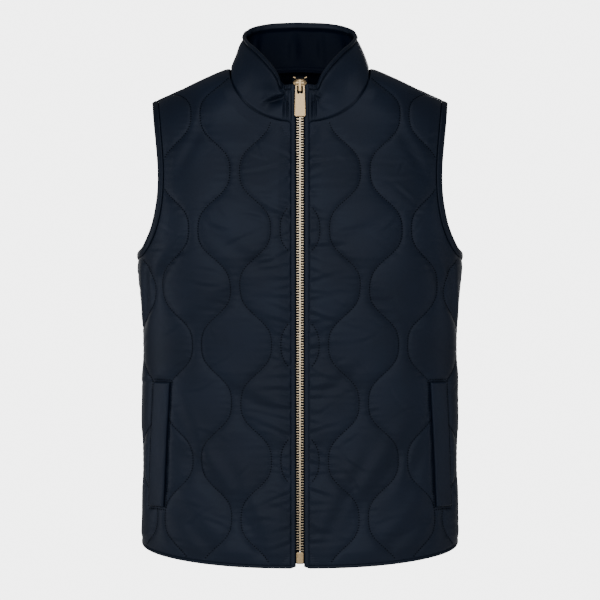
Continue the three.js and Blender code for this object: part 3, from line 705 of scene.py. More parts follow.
def lower_edges(side, inner):
    """Half a panel's edge along the hem, and its edge up the armhole."""
    hem = np.linspace(inner, SIDE, EDGE_POINTS)
    bottom = np.stack([hem, hem_height(side, hem) + HEM_BINDING - HEM_LAP], axis=1)
    armhole = armhole_line(side, "seam", EDGE_POINTS)[::-1]
    armhole[-1][1] += side * SEAM_FORWARD
    return bottom, armhole


UPPER_SHARE = 0.42             # of a panel's rows, those above the underarm


def climbing(points, count):
    """Points on a line spaced mostly by their height, so that the rows of a panel stay apart."""
    steps = np.abs(np.diff(points, axis=0)) @ np.array([0.2, 1.0])
    run = np.concatenate([[0], np.cumsum(steps)])
    places = np.linspace(0, run[-1], count)
    return np.stack([np.interp(places, run, points[:, k]) for k in range(2)], axis=1)


def boundary(start, corner, rest, rows):
    """Points up one edge of a panel: straight to the underarm's height, then along the rest."""
    upper = int(rows * UPPER_SHARE)
    lower = np.linspace(start, corner, rows - upper + 1)
    return np.vstack([lower, climbing(np.vstack([corner[None], rest]), upper + 1)[1:]])


def coons(bottom, top, left, right):
    """Flat places over a four sided patch from its four edges; only the upper rows take the top's shape."""
    s = np.linspace(0, 1, len(bottom))[None, :, None]
    t = np.linspace(0, 1, len(left))[:, None, None] ** 3
    between = (1 - t) * bottom[None] + t * top[None] + (1 - s) * left[:, None] + s * right[:, None]
    corners = ((1 - s) * (1 - t) * bottom[0] + s * (1 - t) * bottom[-1]
               + (1 - s) * t * top[0] + s * t * top[-1])
    return between - corners


WELT_STITCH = 3.0              # stitching lies this far outside a welt
CHANNEL_HALF = 1.2             # half width of the channel that it sews down
WELT_LAP = 1.4                 # the cloth is flattest up to this far outside a welt


def welt_seat(spots, height):
    """Height of a front's cloth, pressed flat under a pocket's welt and sewn down in a channel round it."""
    corners = np.array([welt_spot(np.array(t), np.array(w)) for t, w in ((0, 0), (0, 1), (1, 1), (1, 0))])
    away = edge_distance(corners, spots)
    away = np.where(inside_outline(corners, spots), -away, away)
    share = np.clip((WELT_STITCH + CHANNEL_HALF - away) / (2 * CHANNEL_HALF), 0, 1)
    soft = np.exp(-np.maximum(0, away - WELT_STITCH) / 2.6)
    pressed = np.maximum(share * share * (3 - 2 * share), soft)
    low = np.where(away < WELT_LAP, 0.5, STITCHED)
    crease = np.sin(0.55 * spots[:, 1] + 0.3 * away + 2 * np.sin(0.07 * spots[:, 1]))
    pucker = 0.35 * crease * np.exp(-((away - WELT_STITCH - 4) / 3.5) ** 2)
    return height + (low - height) * pressed + pucker


def cover_height(side, spots, outline, shift):
    """Height of a panel's outer face above the inside of the cloth, in millimetres."""
    edge = edge_distance(outline, spots)
    height = quilt_height(side, spots[:, 0], spots[:, 1], edge, shift)
    if side < 0:
        height += zip_puckers(spots[:, 0], spots[:, 1], shift) * np.minimum(1, edge / 3)
        height = welt_seat(spots, height)
    return height


SHELL = 1.3                    # thickness of a panel's cloth
FRONT_GRID = (112, 276)
BACK_GRID = (172, 236)


def panel(name, side, flat, outline, shift, mirror=1):
    """A quilted panel from its flat grid of places, and the thread that quilts it."""
    rows, columns = flat.shape[0] - 1, flat.shape[1] - 1

    def place(across, rise):
        spots = flat[np.rint(rise * rows).astype(int), np.rint(across * columns).astype(int)]
        height = cover_height(side, spots, outline, shift)
        return laid(side, spots[:, 0], spots[:, 1], height), spots

    material = "Nylon taffeta front" if side < 0 else "Nylon taffeta back"
    piece = sheet_piece(name, (columns, rows), place, SHELL, mirror, (material, "Taffeta lining"))
    runs = quilting_runs(side, outline)
    return piece, stitches(f"quilting_{name}", side, runs, outline, shift, mirror)


def front_flat():
    columns, rows = FRONT_GRID
    bottom, armhole = lower_edges(-1, PLACKET_OUTER)
    neck = neck_seam(-1, EDGE_POINTS)[::-1]
    left = boundary(bottom[0], np.array([PLACKET_OUTER, UNDERARM["seam"]]), neck[::-1], rows)
    right = boundary(bottom[-1], np.array([SIDE, UNDERARM["seam"]]), armhole[1:], rows)
    top = shoulder_line(-1, columns + 1)
    outline = np.vstack([bottom, armhole[1:], top[::-1], neck])
    return coons(evenly(bottom, columns + 1), top, left, right), outline


def back_flat():
    columns, rows = BACK_GRID
    half, armhole = lower_edges(1, 0)
    bottom = np.vstack([half[::-1] * [-1, 1], half[1:]])
    right = boundary(half[-1], np.array([SIDE, UNDERARM["seam"]]), armhole[1:], rows)
    left = right * [-1, 1]
    half_top = np.vstack([neck_seam(1, 40)[::-1], shoulder_line(1, 40)[1:]])
    top = evenly(np.vstack([half_top[::-1] * [-1, 1], half_top[1:]]), columns + 1)
    outline = np.vstack([bottom, right[1:], half_top[::-1], half_top[1:] * [-1, 1], left[::-1]])
    return coons(evenly(bottom, columns + 1), top, left, right), outline


def inside_outline(outline, points):
    """Whether each place lies inside the outline."""
    inside = np.zeros(len(points), bool)
    x, y = points[:, 0], points[:, 1]
    for a, b in zip(outline, np.roll(outline, -1, axis=0)):
        crosses = (a[1] > y) != (b[1] > y)
        slope = (b[0] - a[0]) / (b[1] - a[1] if b[1] != a[1] else 1e-9)
        inside ^= crosses & (x < a[0] + (y - a[1]) * slope)
    return inside


STITCH = (1.8, 1.7, 1.1)       # length, width and thickness of a stitch
THREAD_RISE = 0.4              # a stitch's middle lies this far above the cloth
LINE_HEIGHTS = (-690, 130, 1.5)
SHORTEST_RUN = 20              # steps of a line; shorter pieces of it at the edges are left out


def stitches(name, side, runs, outline, shift, mirror=1):
    """Stitches of thread on a panel, along flat runs, each run a line of close places."""
    pitch = sizes().stitch_pitch / MM
    spots, ways = [], []
    for run in runs:
        length = np.linalg.norm(np.diff(run, axis=0), axis=1).sum()
        even = evenly(run, max(3, int(length / pitch)))
        spots.append(even[1:-1])
        ways.append(even[2:] - even[:-2])
    spots, ways = np.vstack(spots), np.vstack(ways)
    ways /= np.linalg.norm(ways, axis=1, keepdims=True)
    height = cover_height(side, spots, outline, shift) + THREAD_RISE
    flip = np.array([mirror, 1, 1])
    here = laid(side, spots[:, 0], spots[:, 1], height) * flip
    ahead = laid(side, spots[:, 0] + ways[:, 0], spots[:, 1] + ways[:, 1], height) * flip
    out = cloth_normal(side, spots[:, 0], spots[:, 1]) * flip
    along_run = ahead - here
    along_run /= np.linalg.norm(along_run, axis=1, keepdims=True)
    axes = np.stack([along_run, np.cross(out, along_run), out], axis=1)
    shape = bmesh.new()
    bmesh.ops.create_icosphere(shape, subdivisions=1, radius=0.5)
    bmesh.ops.scale(shape, vec=Vector(STITCH) * MM, verts=shape.verts)
    return repeated(name, shape, here * MM, axes, "Near black thread with painted hole shade", "shell_cloth")


def quilting_runs(side, outline):
    """The stretches of the stitch lines that lie on a panel; the back has them on both halves."""
    runs = []
    up = np.arange(*LINE_HEIGHTS)
    for i in LINE_NUMBERS:
        for sign in (1,) if side < 0 else (1, -1):
            line = np.stack([sign * line_place(side, i, up), up], axis=1)
            keep = inside_outline(outline, line) & (line[:, 0] * sign > 0)
            ends = np.flatnonzero(np.diff(np.concatenate([[0], keep.astype(int), [0]])))
            for a, b in zip(ends[::2], ends[1::2]):
                if b - a > SHORTEST_RUN:
                    runs.append(line[a + 1:b - 1])
    return runs


class VEST_OT_fronts(bpy.types.Operator):
    """Make the two quilted fronts with their stitching"""

    bl_idname = "vest.fronts"
    bl_label = "Fronts"

    def execute(self, context):
        flat, outline = front_flat()
        for name, mirror, shift in (("front_left", 1, 0.0), ("front_right", -1, 1.0)):
            piece, thread = panel(name, -1, flat, outline, shift, mirror)
        return {"FINISHED"}


class VEST_OT_back(bpy.types.Operator):
    """Make the quilted back with its stitching"""

    bl_idname = "vest.back"
    bl_label = "Back"

    def execute(self, context):
        piece, thread = panel("back", 1, *back_flat(), 0.5)
        return {"FINISHED"}


# Collar

SHOULDER_ROW = 7               # row of the collar's table where it passes over the shoulder
LAST_ROW = len(COLLAR) - 1
COLLAR_LIFT = 2.2              # the collar's foot lies this far above the inside of the cloth


def table_curve(points, place):
    """Smooth curve through a table's points, read at shares of the table's rows."""
    rows = [dict(zip("kxyz", (k, *point))) for k, point in enumerate(points)]
    at = np.asarray(place) * (len(points) - 1)
    return np.stack([along(rows, key, "k", at) for key in "xyz"[:len(points[0])]], axis=-1)


def collar_point(place, rise):
    """Outer face of the collar: place 0 at the zip to 1 at the back, rise 0 at the seam to 1 at the top."""
    place = np.clip(place, 0, 1)
    turn_over = SHOULDER_ROW / LAST_ROW
    foot = np.empty(place.shape + (3,))
    for side, rows, share in (
        (-1, COLLAR[:SHOULDER_ROW + 1], place / turn_over),
        (1, COLLAR[SHOULDER_ROW:], (place - turn_over) / (1 - turn_over)),
    ):
        seam = [unroll(side, x, min(z, float(ridge(x)))) for x, z in (row["seam"] for row in rows)]
        flat = table_curve(seam, np.clip(share, 0, 1))
        point = cloth_point(side, flat[..., 0], flat[..., 1])
        normal = cloth_normal(side, flat[..., 0], flat[..., 1])
        outward = point * [1, 1, 0]
        outward /= np.linalg.norm(outward, axis=-1, keepdims=True)
        lift = COLLAR_LIFT * np.maximum(0, (normal * outward).sum(axis=-1))
        own_side = (place <= turn_over) == (side < 0)
        foot = np.where(own_side[..., None], point + lift[..., None] * normal, foot)
    top = table_curve([row["top"] for row in COLLAR], place)
    return foot + (top - foot) * rise[..., None]


def collar_normal(place, rise):
    step = 0.01
    centre = np.clip(place, step, 1 - step)
    around = collar_point(centre + step, rise) - collar_point(centre - step, rise)
    up = collar_point(centre, rise + step) - collar_point(centre, rise - step)
    normal = np.cross(around, up)
    normal /= np.linalg.norm(normal, axis=-1, keepdims=True)
    return normal


def collar_signed(signed, rise, out):
    """Collar point from -1 at one front edge over 0 at the back to 1 at the other."""
    place = 1 - np.abs(signed)
    point = collar_point(place, rise)
    normal = collar_normal(place, rise)
    normal[..., 0] *= np.where(place > 0.985, 0, 1)
    point = point + np.asarray(out, float)[..., None] * normal
    point[..., 0] *= np.where(signed > 0, -1, 1)
    return point


# Creases of the collar, each a hollow with a ridge above it. The place runs from -1 at the left front edge
# over 0 at the back to 1 at the right one, and the rise from 0 at the seam to 1 at the top edge.
COLLAR_CREASES = table(
    "place rise reach width slant depth",
    (0.81, 0.5, 0.1, 0.14, 2.2, 3.2),
    (-0.86, 0.62, 0.06, 0.13, -2.2, 2),
    (-0.6, 0.5, 0.1, 0.25, -1, 1.4),
    (0.42, 0.5, 0.12, 0.25, 0.8, 1.2),
    (-0.12, 0.5, 0.06, 0.5, 0, 1.4),
    (0.1, 0.55, 0.05, 0.5, 0, 1.2),
)
# Smaller ones, too fine for the solids
COLLAR_WRINKLES = table(
    "place rise reach width slant depth",
    (0.927, 0.45, 0.011, 0.8, 0, 3.2),
    (0.965, 0.5, 0.009, 0.8, 0, 3.4),
    (-0.93, 0.5, 0.01, 0.8, 0, 3.0),
    (-0.968, 0.5, 0.009, 0.8, 0, 3.4),
    (-0.83, 0.3, 0.05, 0.08, -2.4, 0.9),
    (0.72, 0.66, 0.06, 0.1, 1.6, 0.9),
    (-0.74, 0.72, 0.05, 0.09, -1.8, 0.8),
    (0.27, 0.6, 0.02, 0.8, 0, 3.0),
    (0.17, 0.6, 0.016, 0.8, 0, 1.8),
    (0.02, 0.5, 0.018, 0.8, 0, 3.0),
    (-0.07, 0.5, 0.014, 0.8, 0, 1.5),
    (-0.2, 0.6, 0.022, 0.8, 0, 3.0),
    (-0.33, 0.5, 0.025, 0.6, 1, 1.3),
    (0.5, 0.5, 0.04, 0.3, -1.5, 0.7),
)
# Folds where the collar's front corners fall in: the cloth above the line hangs over the cloth below it
COLLAR_OVERHANGS = table(
    "place rise reach width slant depth",
    (0.84, 0.62, 0.095, 0.22, 3.2, 5.2),
    (0.945, 0.72, 0.03, 0.12, -3.0, 1.6),
    (-0.905, 0.78, 0.035, 0.13, -3.4, 2.0),
    (-0.95, 0.66, 0.025, 0.12, 2.0, 1.3),
)
LINE_SHARE = 0.12              # width of an overhang's sharp line, in widths
COLLAR_TUCK = 0.07             # share of the collar's rise over which it dips into the seams
RIDGE_SHARE = 0.6              # height of a crease's ridge against the depth of its hollow
RIDGE_OFFSET = 1.8             # distance between the two, in widths


END_HELD = 0.03                # the zip holds the collar flat over this share at its ends


def collar_relief(signed, rise):
    """Depth of the creases and folds, in millimetres."""
    total = np.zeros_like(signed)
    for crease in COLLAR_CREASES + COLLAR_WRINKLES:
        away = signed - crease["place"]
        off = (rise - crease["rise"] - crease["slant"] * away) / crease["width"]
        shape = RIDGE_SHARE * np.exp(-(off - RIDGE_OFFSET) ** 2) - np.exp(-off ** 2)
        total += crease["depth"] * np.exp(-(away / crease["reach"]) ** 2) * shape
    total *= np.sin(math.pi * np.clip(rise, 0, 1))
    for fold in COLLAR_OVERHANGS:
        away = signed - fold["place"]
        off = (rise - fold["rise"] - fold["slant"] * away) / fold["width"]
        shape = np.tanh(off / LINE_SHARE) * np.exp(-off ** 2)
        edge = np.clip(np.minimum(rise, 1 - rise) * 9, 0, 1)
        total += fold["depth"] * edge * np.exp(-(away / fold["reach"]) ** 4) * shape
    return total * np.minimum(1, (1 - np.abs(signed)) / END_HELD)


def collar_height(signed):
    """Distance from the seam up to the top edge."""
    none = 0 * signed
    return np.linalg.norm(collar_signed(signed, none + 1, none) - collar_signed(signed, none, none), axis=1)


COLLAR_HALF = 250              # flat lengths, which set the weave's size
COLLAR_RISE = 55
COLLAR_EDGING = 20
COLLAR_THICKNESS = 2.0
COLLAR_GRID = (400, 64)
EDGING_GRID = (260, 24)
COLLAR_PUFF = 2.2              # rise of its soft middle above its edges
EDGE_SUNK = 1.5                # its edges lie this far inside the smooth form
WALL_GAP = 8.2                 # the wall ends this far under its top edge, without its tuck
TUCK = 4                       # length of wall pushed into each seam
FOOT_DIP = 1.4
HEAD_DIP = 1.2
SEAM_LINE = dict(rise=0.04, width=0.016, depth=2.6)
EDGE_LINE = dict(rise=0.972, width=0.022, depth=1.2)
# Section of the binding: distance up from the collar's top edge, and out from its face
COLLAR_SECTION = [(-8.8, -3.9), (-6.9, -3.4), (-6.6, 0.1), (-5.8, 0.9), (-3.2, 1.2), (-0.7, 0.6),
                  (0.4, -1.7), (-0.7, -4.1), (-3.2, -5.2), (-5.6, -5.3), (-7.6, -5.0), (-8.8, -3.9)]


def collar_wall(across, rise):
    signed = 2 * across - 1
    height = collar_height(signed)
    foot = np.clip(1 - rise / COLLAR_TUCK, 0, 1)
    head = np.clip((rise - 1) / COLLAR_TUCK + 1, 0, 1)
    share = rise * (1 - WALL_GAP / height) + TUCK * (head - foot) / height
    puff = COLLAR_PUFF * np.sin(math.pi * np.clip(rise, 0, 1)) ** 0.5 - EDGE_SUNK
    puff -= FOOT_DIP * foot + HEAD_DIP * head
    free = np.clip((1 - np.abs(signed)) / 0.04 - 0.2, 0, 1)    # the lower line fades beside the zip
    for line, held in ((SEAM_LINE, free), (EDGE_LINE, 1)):
        puff -= line["depth"] * held * np.exp(-((rise - line["rise"]) / line["width"]) ** 2)
    points = collar_signed(signed, share, puff + collar_relief(signed, rise))
    return points, np.stack([signed * COLLAR_HALF, rise * COLLAR_RISE], axis=1)


def collar_edging(across, rise):
    signed = 2 * across - 1
    spot = section_spot(COLLAR_SECTION, rise, 24)
    slack = 0.8 * collar_relief(signed, np.full_like(signed, 0.8))
    slack -= 1.5 * np.clip((np.abs(signed) - 0.91) / 0.05, 0, 1)
    points = collar_signed(signed, 1 + spot[:, 0] / collar_height(signed), spot[:, 1] + slack)
    return points, np.stack([signed * COLLAR_HALF, rise * COLLAR_EDGING], axis=1)


class VEST_OT_collar(bpy.types.Operator):
    """Make the stand collar and the binding along its top edge"""

    bl_idname = "vest.collar"
    bl_label = "Collar"

    def execute(self, context):
        cloth = ("Nylon taffeta plain", "Taffeta lining")
        piece = sheet_piece("collar", COLLAR_GRID, collar_wall, COLLAR_THICKNESS, materials=cloth)
        binding = binding_piece("collar_binding", EDGING_GRID, collar_edging)
        return {"FINISHED"}


# Bindings

# Sections of the bindings: share of the way from seam to edge, or distance up, and height above the cloth
ARMHOLE_SECTION = [(-0.12, -0.7), (0.07, 0.1), (0.08, 1.9), (0.16, 2.9), (0.42, 3.5), (0.74, 3.3),
                   (0.95, 2.3), (1.0, 1.0), (0.93, -0.5), (0.6, -1.1), (0.1, -1.1), (-0.12, -0.7)]
HEM_SECTION = [(4.6, 0.4), (4.3, 2.2), (2.4, 3.2), (0.5, 2.4), (0.0, 0.9), (0.6, -0.7), (2.4, -1.1),
               (4.3, -0.7), (4.6, 0.4)]
HALF_RING = 90                 # steps of an armhole's binding on the front, and as many on the back
HEM_STEPS = 130                # steps of the hem's binding from the zip to the side
ARMHOLE_LENGTH = 560           # flat lengths of the bindings, and their measures round the fold
ARMHOLE_ROUND = 24
HEM_LENGTH = 1080
HEM_ROUND = 12


def armhole_ring(across, rise):
    at = np.rint(across * 2 * HALF_RING).astype(int)
    spot = section_spot(ARMHOLE_SECTION, rise, 24)
    pucker = 0.16 * np.sin(at * 1.9) * np.sin(at * 0.37 + 1)
    points = np.empty((len(at), 3))
    for side in (-1, 1):
        seam = armhole_line(side, "seam", HALF_RING + 1)
        edge = armhole_line(side, "edge", HALF_RING + 1)
        k = np.clip(at if side < 0 else 2 * HALF_RING - at, 0, HALF_RING)
        flat = seam[k] + (edge[k] - seam[k]) * spot[:, :1]
        height = spot[:, 1] * (1 + 0.2 * pucker)
        mask = (at <= HALF_RING) == (side < 0)
        points[mask] = laid(side, np.minimum(flat[:, 0], SIDE), flat[:, 1], height)[mask]
    return points, np.stack([across * ARMHOLE_LENGTH, rise * ARMHOLE_ROUND], axis=1)


def hem_ring(across, rise):
    start = PLACKET_INNER - 1.2
    front = np.linspace(start, SIDE, HEM_STEPS)
    behind = np.linspace(SIDE, -SIDE, 2 * HEM_STEPS + 1)[1:-1]
    around = np.concatenate([front, behind, np.linspace(-SIDE, -start, HEM_STEPS)])
    at = np.rint(across * (len(around) - 1)).astype(int)
    spot = section_spot(HEM_SECTION, rise, 12)
    at_back = (at >= HEM_STEPS) & (at < HEM_STEPS + len(behind))
    points = np.empty((len(at), 3))
    for side in (-1, 1):
        mask = at_back == (side > 0)
        place = around[at][mask]
        points[mask] = laid(side, place, hem_height(side, place) + spot[mask][:, 0], spot[mask][:, 1])
    return points, np.stack([across * HEM_LENGTH, rise * HEM_ROUND], axis=1)


class VEST_OT_bindings(bpy.types.Operator):
    """Make the bindings of both armholes and of the hem"""

    bl_idname = "vest.bindings"
    bl_label = "Bindings"

    def execute(self, context):
        for name, mirror in (("armhole_binding_left", 1), ("armhole_binding_right", -1)):
            piece = binding_piece(name, (2 * HALF_RING, 24), armhole_ring, mirror)
        piece = binding_piece("hem_binding", (4 * HEM_STEPS - 2, 12), hem_ring)
        return {"FINISHED"}


# Pockets

WELT_FOOT = 1.5                # a welt's edges lie this far above the inside of the cloth
WELT_RISE = 3.4                # and its face this much higher
WELT_ROUND = 1.7               # width over which it rises at its edges
WELT_WIDTH = 24
WELT_LENGTH = 172
WELT_GRID = (26, 110)
WELT_THICKNESS = 1.2


def welt_spot(length_share, width_share, grow=0.0):
    """Flat place on a welt, or further out from its middle by the growth."""
    corner = {key: unroll(-1, WELT[key], WELT[key.split("_")[0]])
              for key in ("top_in", "top_out", "bottom_in", "bottom_out")}
    t = length_share[..., None]
    inner = corner["bottom_in"] + (corner["top_in"] - corner["bottom_in"]) * t
    outer = corner["bottom_out"] + (corner["top_out"] - corner["bottom_out"]) * t
    spot = inner + (outer - inner) * width_share[..., None]
    spread = np.stack([2 * width_share - 1, 2 * length_share - 1], axis=-1)
    return spot + grow * spread


def welt_top(across, rise):
    spot = welt_spot(rise, across)
    edge = np.minimum(np.minimum(across, 1 - across) * WELT_WIDTH, np.minimum(rise, 1 - rise) * WELT_LENGTH)
    lift = WELT_RISE * np.clip(edge / WELT_ROUND, 0, 1) ** 0.4
    slack = 0.3 * np.sin(rise * 21 + 1) * np.exp(-((across - 0.2) / 0.3) ** 2)
    height = WELT_FOOT + lift + slack * np.clip(edge / 4, 0, 1)
    return laid(-1, spot[:, 0], spot[:, 1], height), spot


class VEST_OT_welts(bpy.types.Operator):
    """Make the welts of the two slanted pockets and the stitching round them"""

    bl_idname = "vest.welts"
    bl_label = "Welt pockets"

    def execute(self, context):
        outline = front_flat()[1]
        rim = np.linspace(0, 1, 60)
        ends = ((rim, 0 * rim), (rim, 0 * rim + 1), (0 * rim, rim), (0 * rim + 1, rim))
        sides = [welt_spot(length, width, WELT_STITCH) for length, width in ends]
        for side, mirror, shift in (("left", 1, 0.0), ("right", -1, 1.0)):
            piece = sheet_piece(f"welt_{side}", WELT_GRID, welt_top, WELT_THICKNESS, mirror)
            thread = stitches(f"stitching_welt_{side}", -1, sides, outline, shift, mirror)
        return {"FINISHED"}


# Zip

ZIP_BOTTOM = -667.3
ZIP_TOP = -13.6
TOOTH_PITCH = 3.56
LOWEST_TOOTH = -649.5
HIGHEST_TOOTH = -35.4
PLACKET_TOP = -24
PLACKET_BOTTOM = -670.6
PLACKET_THICKNESS = 0.8
TAPE_THICKNESS = 0.9
TAPE_INNER = 0.25              # a tape's inner edge from the centre
TAPE_WIDTH = 9.9
TAPE_OUT = -0.9                # the tape's face lies behind the front's line
TOOTH_OUT = 1.0
# Low and high corner of a tooth's arm and of its head
TOOTH_ARM = ((0.9, -0.6, -1.2), (4.7, 0.6, 0.5))
TOOTH_HEAD = ((-0.98, -0.84, -1.2), (0.98, 0.84, 1.35))
TOOTH_BEVEL = 0.14
PLACKET_SECTION = [(0, -0.4), (0.02, 1.2), (0.2, 2.1), (0.6, 2.3), (0.92, 1.7), (1.06, 0.2)]
SLIDER_LEVEL = -38.0           # the slider and the box lie on the front's line at these heights
BOX_LEVEL = -655.0
TAB_MIDDLE = -46.9
TAB_HALF = (6.6, 21)           # its half width and half length, near enough for its rim
TAB_RIM = 1.0                  # width of the raised rim round the tab's bare face
TAB_RIM_HEIGHT = 0.55
TAB_LOW = 7.25                 # the tab's back and face lie this far out from the front
TAB_HIGH = 9.1
TAB_OUTLINE = [(-5.4, -25.8), (-6.2, -26.8), (-7.3, -66.2), (-6.6, -67.6), (-5.6, -68.0), (5.6, -68.0),
               (6.6, -67.6), (7.3, -66.2), (6.2, -26.8), (5.4, -25.8)]
TAB_SLOT = [(-4.1, -27.1), (-4.1, -36.2), (-3.3, -37.4), (-2.2, -37.9), (2.2, -37.9), (3.3, -37.4),
            (4.1, -36.2), (4.1, -27.1)]

# Blocks of the slider under its domed shield: half width, height, distance out from the front, and bevel
SLIDER_BLOCKS = table(
    "half bottom top low high bevel",
    (5.6, -27.2, -17.4, -0.4, 2.6, 0.5),
    (1.8, -34.6, -27.0, -0.4, 2.6, 0.5),
    (1.8, -34.9, -31.9, 2.0, 10.9, 0.9),
    (1.8, -21.4, -18.4, 2.0, 10.9, 0.9),
    (2.0, -34.9, -18.6, 9.95, 12.4, 0.95),
)
# The domed shield, half its width, thickness and height, with its middle's place
SHIELD_HALF = (9.2, 3.6, 5.4)
SHIELD_OUT = 2.4
SHIELD_HEIGHT = -22.4
STOP_TILT = math.radians(-22)
STOP_PLACE = (7.6, -15.2)
STOP = dict(half=1.9, bottom=-0.85, top=0.85, low=-0.4, high=2.5, bevel=0.5)
BOX = dict(half=4.9, bottom=-667.6, top=-651.4, low=0, high=3.3, bevel=1.5)


def front_line(x, z, out):
    """Points of the zip's flat front, out from the form's front line."""
    return np.stack([x + 0 * z, -level("front", z) - out, z + 0 * x], axis=-1)


def placket_strip(across, rise):
    spot = section_spot(PLACKET_SECTION, across, 16)
    z = PLACKET_BOTTOM + rise * (PLACKET_TOP - PLACKET_BOTTOM)
    ripple = 0.16 * np.sin(z / 5.1 + 2 * np.sin(z / 31)) * np.sin(math.pi * across)
    x = PLACKET_INNER - 0.4 + (PLACKET_OUTER - PLACKET_INNER + 0.7) * spot[:, 0]
    return front_line(x, z, spot[:, 1] + ripple), np.stack([x, z], axis=1)


def tape_strip(across, rise):
    x = TAPE_INNER + across * TAPE_WIDTH
    z = ZIP_BOTTOM + rise * (ZIP_TOP - ZIP_BOTTOM)
    return front_line(x, z, TAPE_OUT + 0 * x), np.stack([x, z], axis=1)


def bevel(bm, edges, width, segments):
    bmesh.ops.bevel(bm, geom=edges, offset=width * MM, offset_type="OFFSET", segments=segments,
                    profile=0.5, affect="EDGES", material=-1)


def block(bm, low, high, width, segments=3):
    """A bevelled block between two corners, in millimetres."""
    made = bmesh.ops.create_cube(bm, size=1)["verts"]
    low, high = Vector(low), Vector(high)
    for vertex in made:
        share = vertex.co + Vector((0.5, 0.5, 0.5))
        vertex.co = Vector(low[k] + (high[k] - low[k]) * share[k] for k in range(3)) * MM
    bevel(bm, list(dict.fromkeys(e for v in made for e in v.link_edges)), width, segments)


def front_block(bm, depth, row):
    """A block on the front, from its named sizes and the front's depth there."""
    block(bm, (-row["half"], -depth - row["high"], row["bottom"]),
          (row["half"], -depth - row["low"], row["top"]), row["bevel"])


def plate(bm, outlines, low, high, width):
    """A bevelled plate in the front's plane, from an outline and its holes."""
    edges = []
    for outline in outlines:
        verts = [bm.verts.new((x * MM, -low * MM, z * MM)) for x, z in outline]
        edges += [bm.edges.new((verts[k - 1], verts[k])) for k in range(len(verts))]
    filled = bmesh.ops.triangle_fill(bm, use_beauty=True, use_dissolve=False, edges=edges)["geom"]
    base = [g for g in filled if isinstance(g, bmesh.types.BMFace)]
    raised = bmesh.ops.extrude_face_region(bm, geom=base)["geom"]
    front = [g for g in raised if isinstance(g, bmesh.types.BMFace)]
    moved = [g for g in raised if isinstance(g, bmesh.types.BMVert)]
    bmesh.ops.translate(bm, vec=(0, -(high - low) * MM, 0), verts=moved)
    rim = [e for f in front for e in f.edges if any(g not in front for g in e.link_faces)]
    bevel(bm, list(dict.fromkeys(rim)), width, 3)
    bmesh.ops.recalc_face_normals(bm, faces=bm.faces)


def metal_piece(name, bm, body="garment"):
    return finish_piece(name, bm, ["Champagne plated brass"], "zip_metal", [name], body, smooth=False)


class VEST_OT_zip(bpy.types.Operator):
    """Make the plackets, tapes, teeth, slider, tab, stops and box of the zip"""

    bl_idname = "vest.zip"
    bl_label = "Zip"

    def execute(self, context):
        for side, mirror in (("left", 1), ("right", -1)):
            piece = sheet_piece(f"placket_{side}", (16, 260), placket_strip, PLACKET_THICKNESS, mirror)
        for side, mirror in (("left", 1), ("right", -1)):
            piece = sheet_piece(f"zip_tape_{side}", (6, 160), tape_strip, TAPE_THICKNESS, mirror,
                                ["Woven zip tape"], "zip_tape")
        self.teeth()
        self.slider()
        self.pull_tab()
        self.ends()
        return {"FINISHED"}

    def teeth(self):
        """Each tooth has an arm clamped on the tape, and a head that hooks into the next ones."""
        tooth = bmesh.new()
        block(tooth, *TOOTH_ARM, TOOTH_BEVEL, 1)
        block(tooth, *TOOTH_HEAD, TOOTH_BEVEL, 1)
        count = int((HIGHEST_TOOTH - LOWEST_TOOTH) / (TOOTH_PITCH / 2))
        z = LOWEST_TOOTH + np.arange(count) * TOOTH_PITCH / 2
        side = np.where(np.arange(count) % 2 == 0, 1, -1)
        points = front_line(0 * z, z, TOOTH_OUT + 0 * z)
        axes = np.tile(np.array([[1, 0, 0], [0, 0, 1], [0, -1, 0]], float), (count, 1, 1))
        axes[:, :2] *= side[:, None, None]
        # the teeth take the brass painted paler, a painted highlight for the light they catch
        repeated("zip_teeth", tooth, points * MM, axes, "Polished brass painted paler for highlights", "zip_metal", ["zip_chain"],
                 smooth=False)

    def slider(self):
        depth = float(level("front", SLIDER_LEVEL))
        bm = bmesh.new()
        dome = bmesh.ops.create_uvsphere(bm, u_segments=32, v_segments=20, radius=MM)["verts"]
        bmesh.ops.scale(bm, vec=SHIELD_HALF, verts=dome)
        middle = Vector((0, -depth - SHIELD_OUT, SHIELD_HEIGHT))
        bmesh.ops.translate(bm, vec=middle * MM, verts=dome)
        for row in SLIDER_BLOCKS:
            front_block(bm, depth, row)
        metal_piece("zip_slider", bm)

    def pull_tab(self):
        depth = float(level("front", SLIDER_LEVEL))
        low, high = depth + TAB_LOW, depth + TAB_HIGH
        narrower, shorter = (1 - TAB_RIM / half for half in TAB_HALF)
        inside = [(x * narrower, TAB_MIDDLE + (z - TAB_MIDDLE) * shorter) for x, z in TAB_OUTLINE]
        bm = bmesh.new()
        plate(bm, [TAB_OUTLINE, TAB_SLOT], low, high - TAB_RIM_HEIGHT, 0.05)
        plate(bm, [TAB_OUTLINE, inside], high - TAB_RIM_HEIGHT - 0.1, high, 0.2)
        metal_piece("pull_tab", bm, "pull_tab")

    def ends(self):
        depth = float(level("front", SLIDER_LEVEL))
        for name, sign in (("zip_stop_left", 1), ("zip_stop_right", -1)):
            bm = bmesh.new()
            front_block(bm, depth, STOP)
            tilt = Matrix.Rotation(sign * STOP_TILT, 3, "Y")
            bmesh.ops.rotate(bm, cent=(0, 0, 0), matrix=tilt, verts=bm.verts)
            place = Vector((sign * STOP_PLACE[0], 0, STOP_PLACE[1]))
            bmesh.ops.translate(bm, vec=place * MM, verts=bm.verts)
            metal_piece(name, bm)
        bm = bmesh.new()
        front_block(bm, float(level("front", BOX_LEVEL)), BOX)
        metal_piece("zip_box", bm)


# Stage

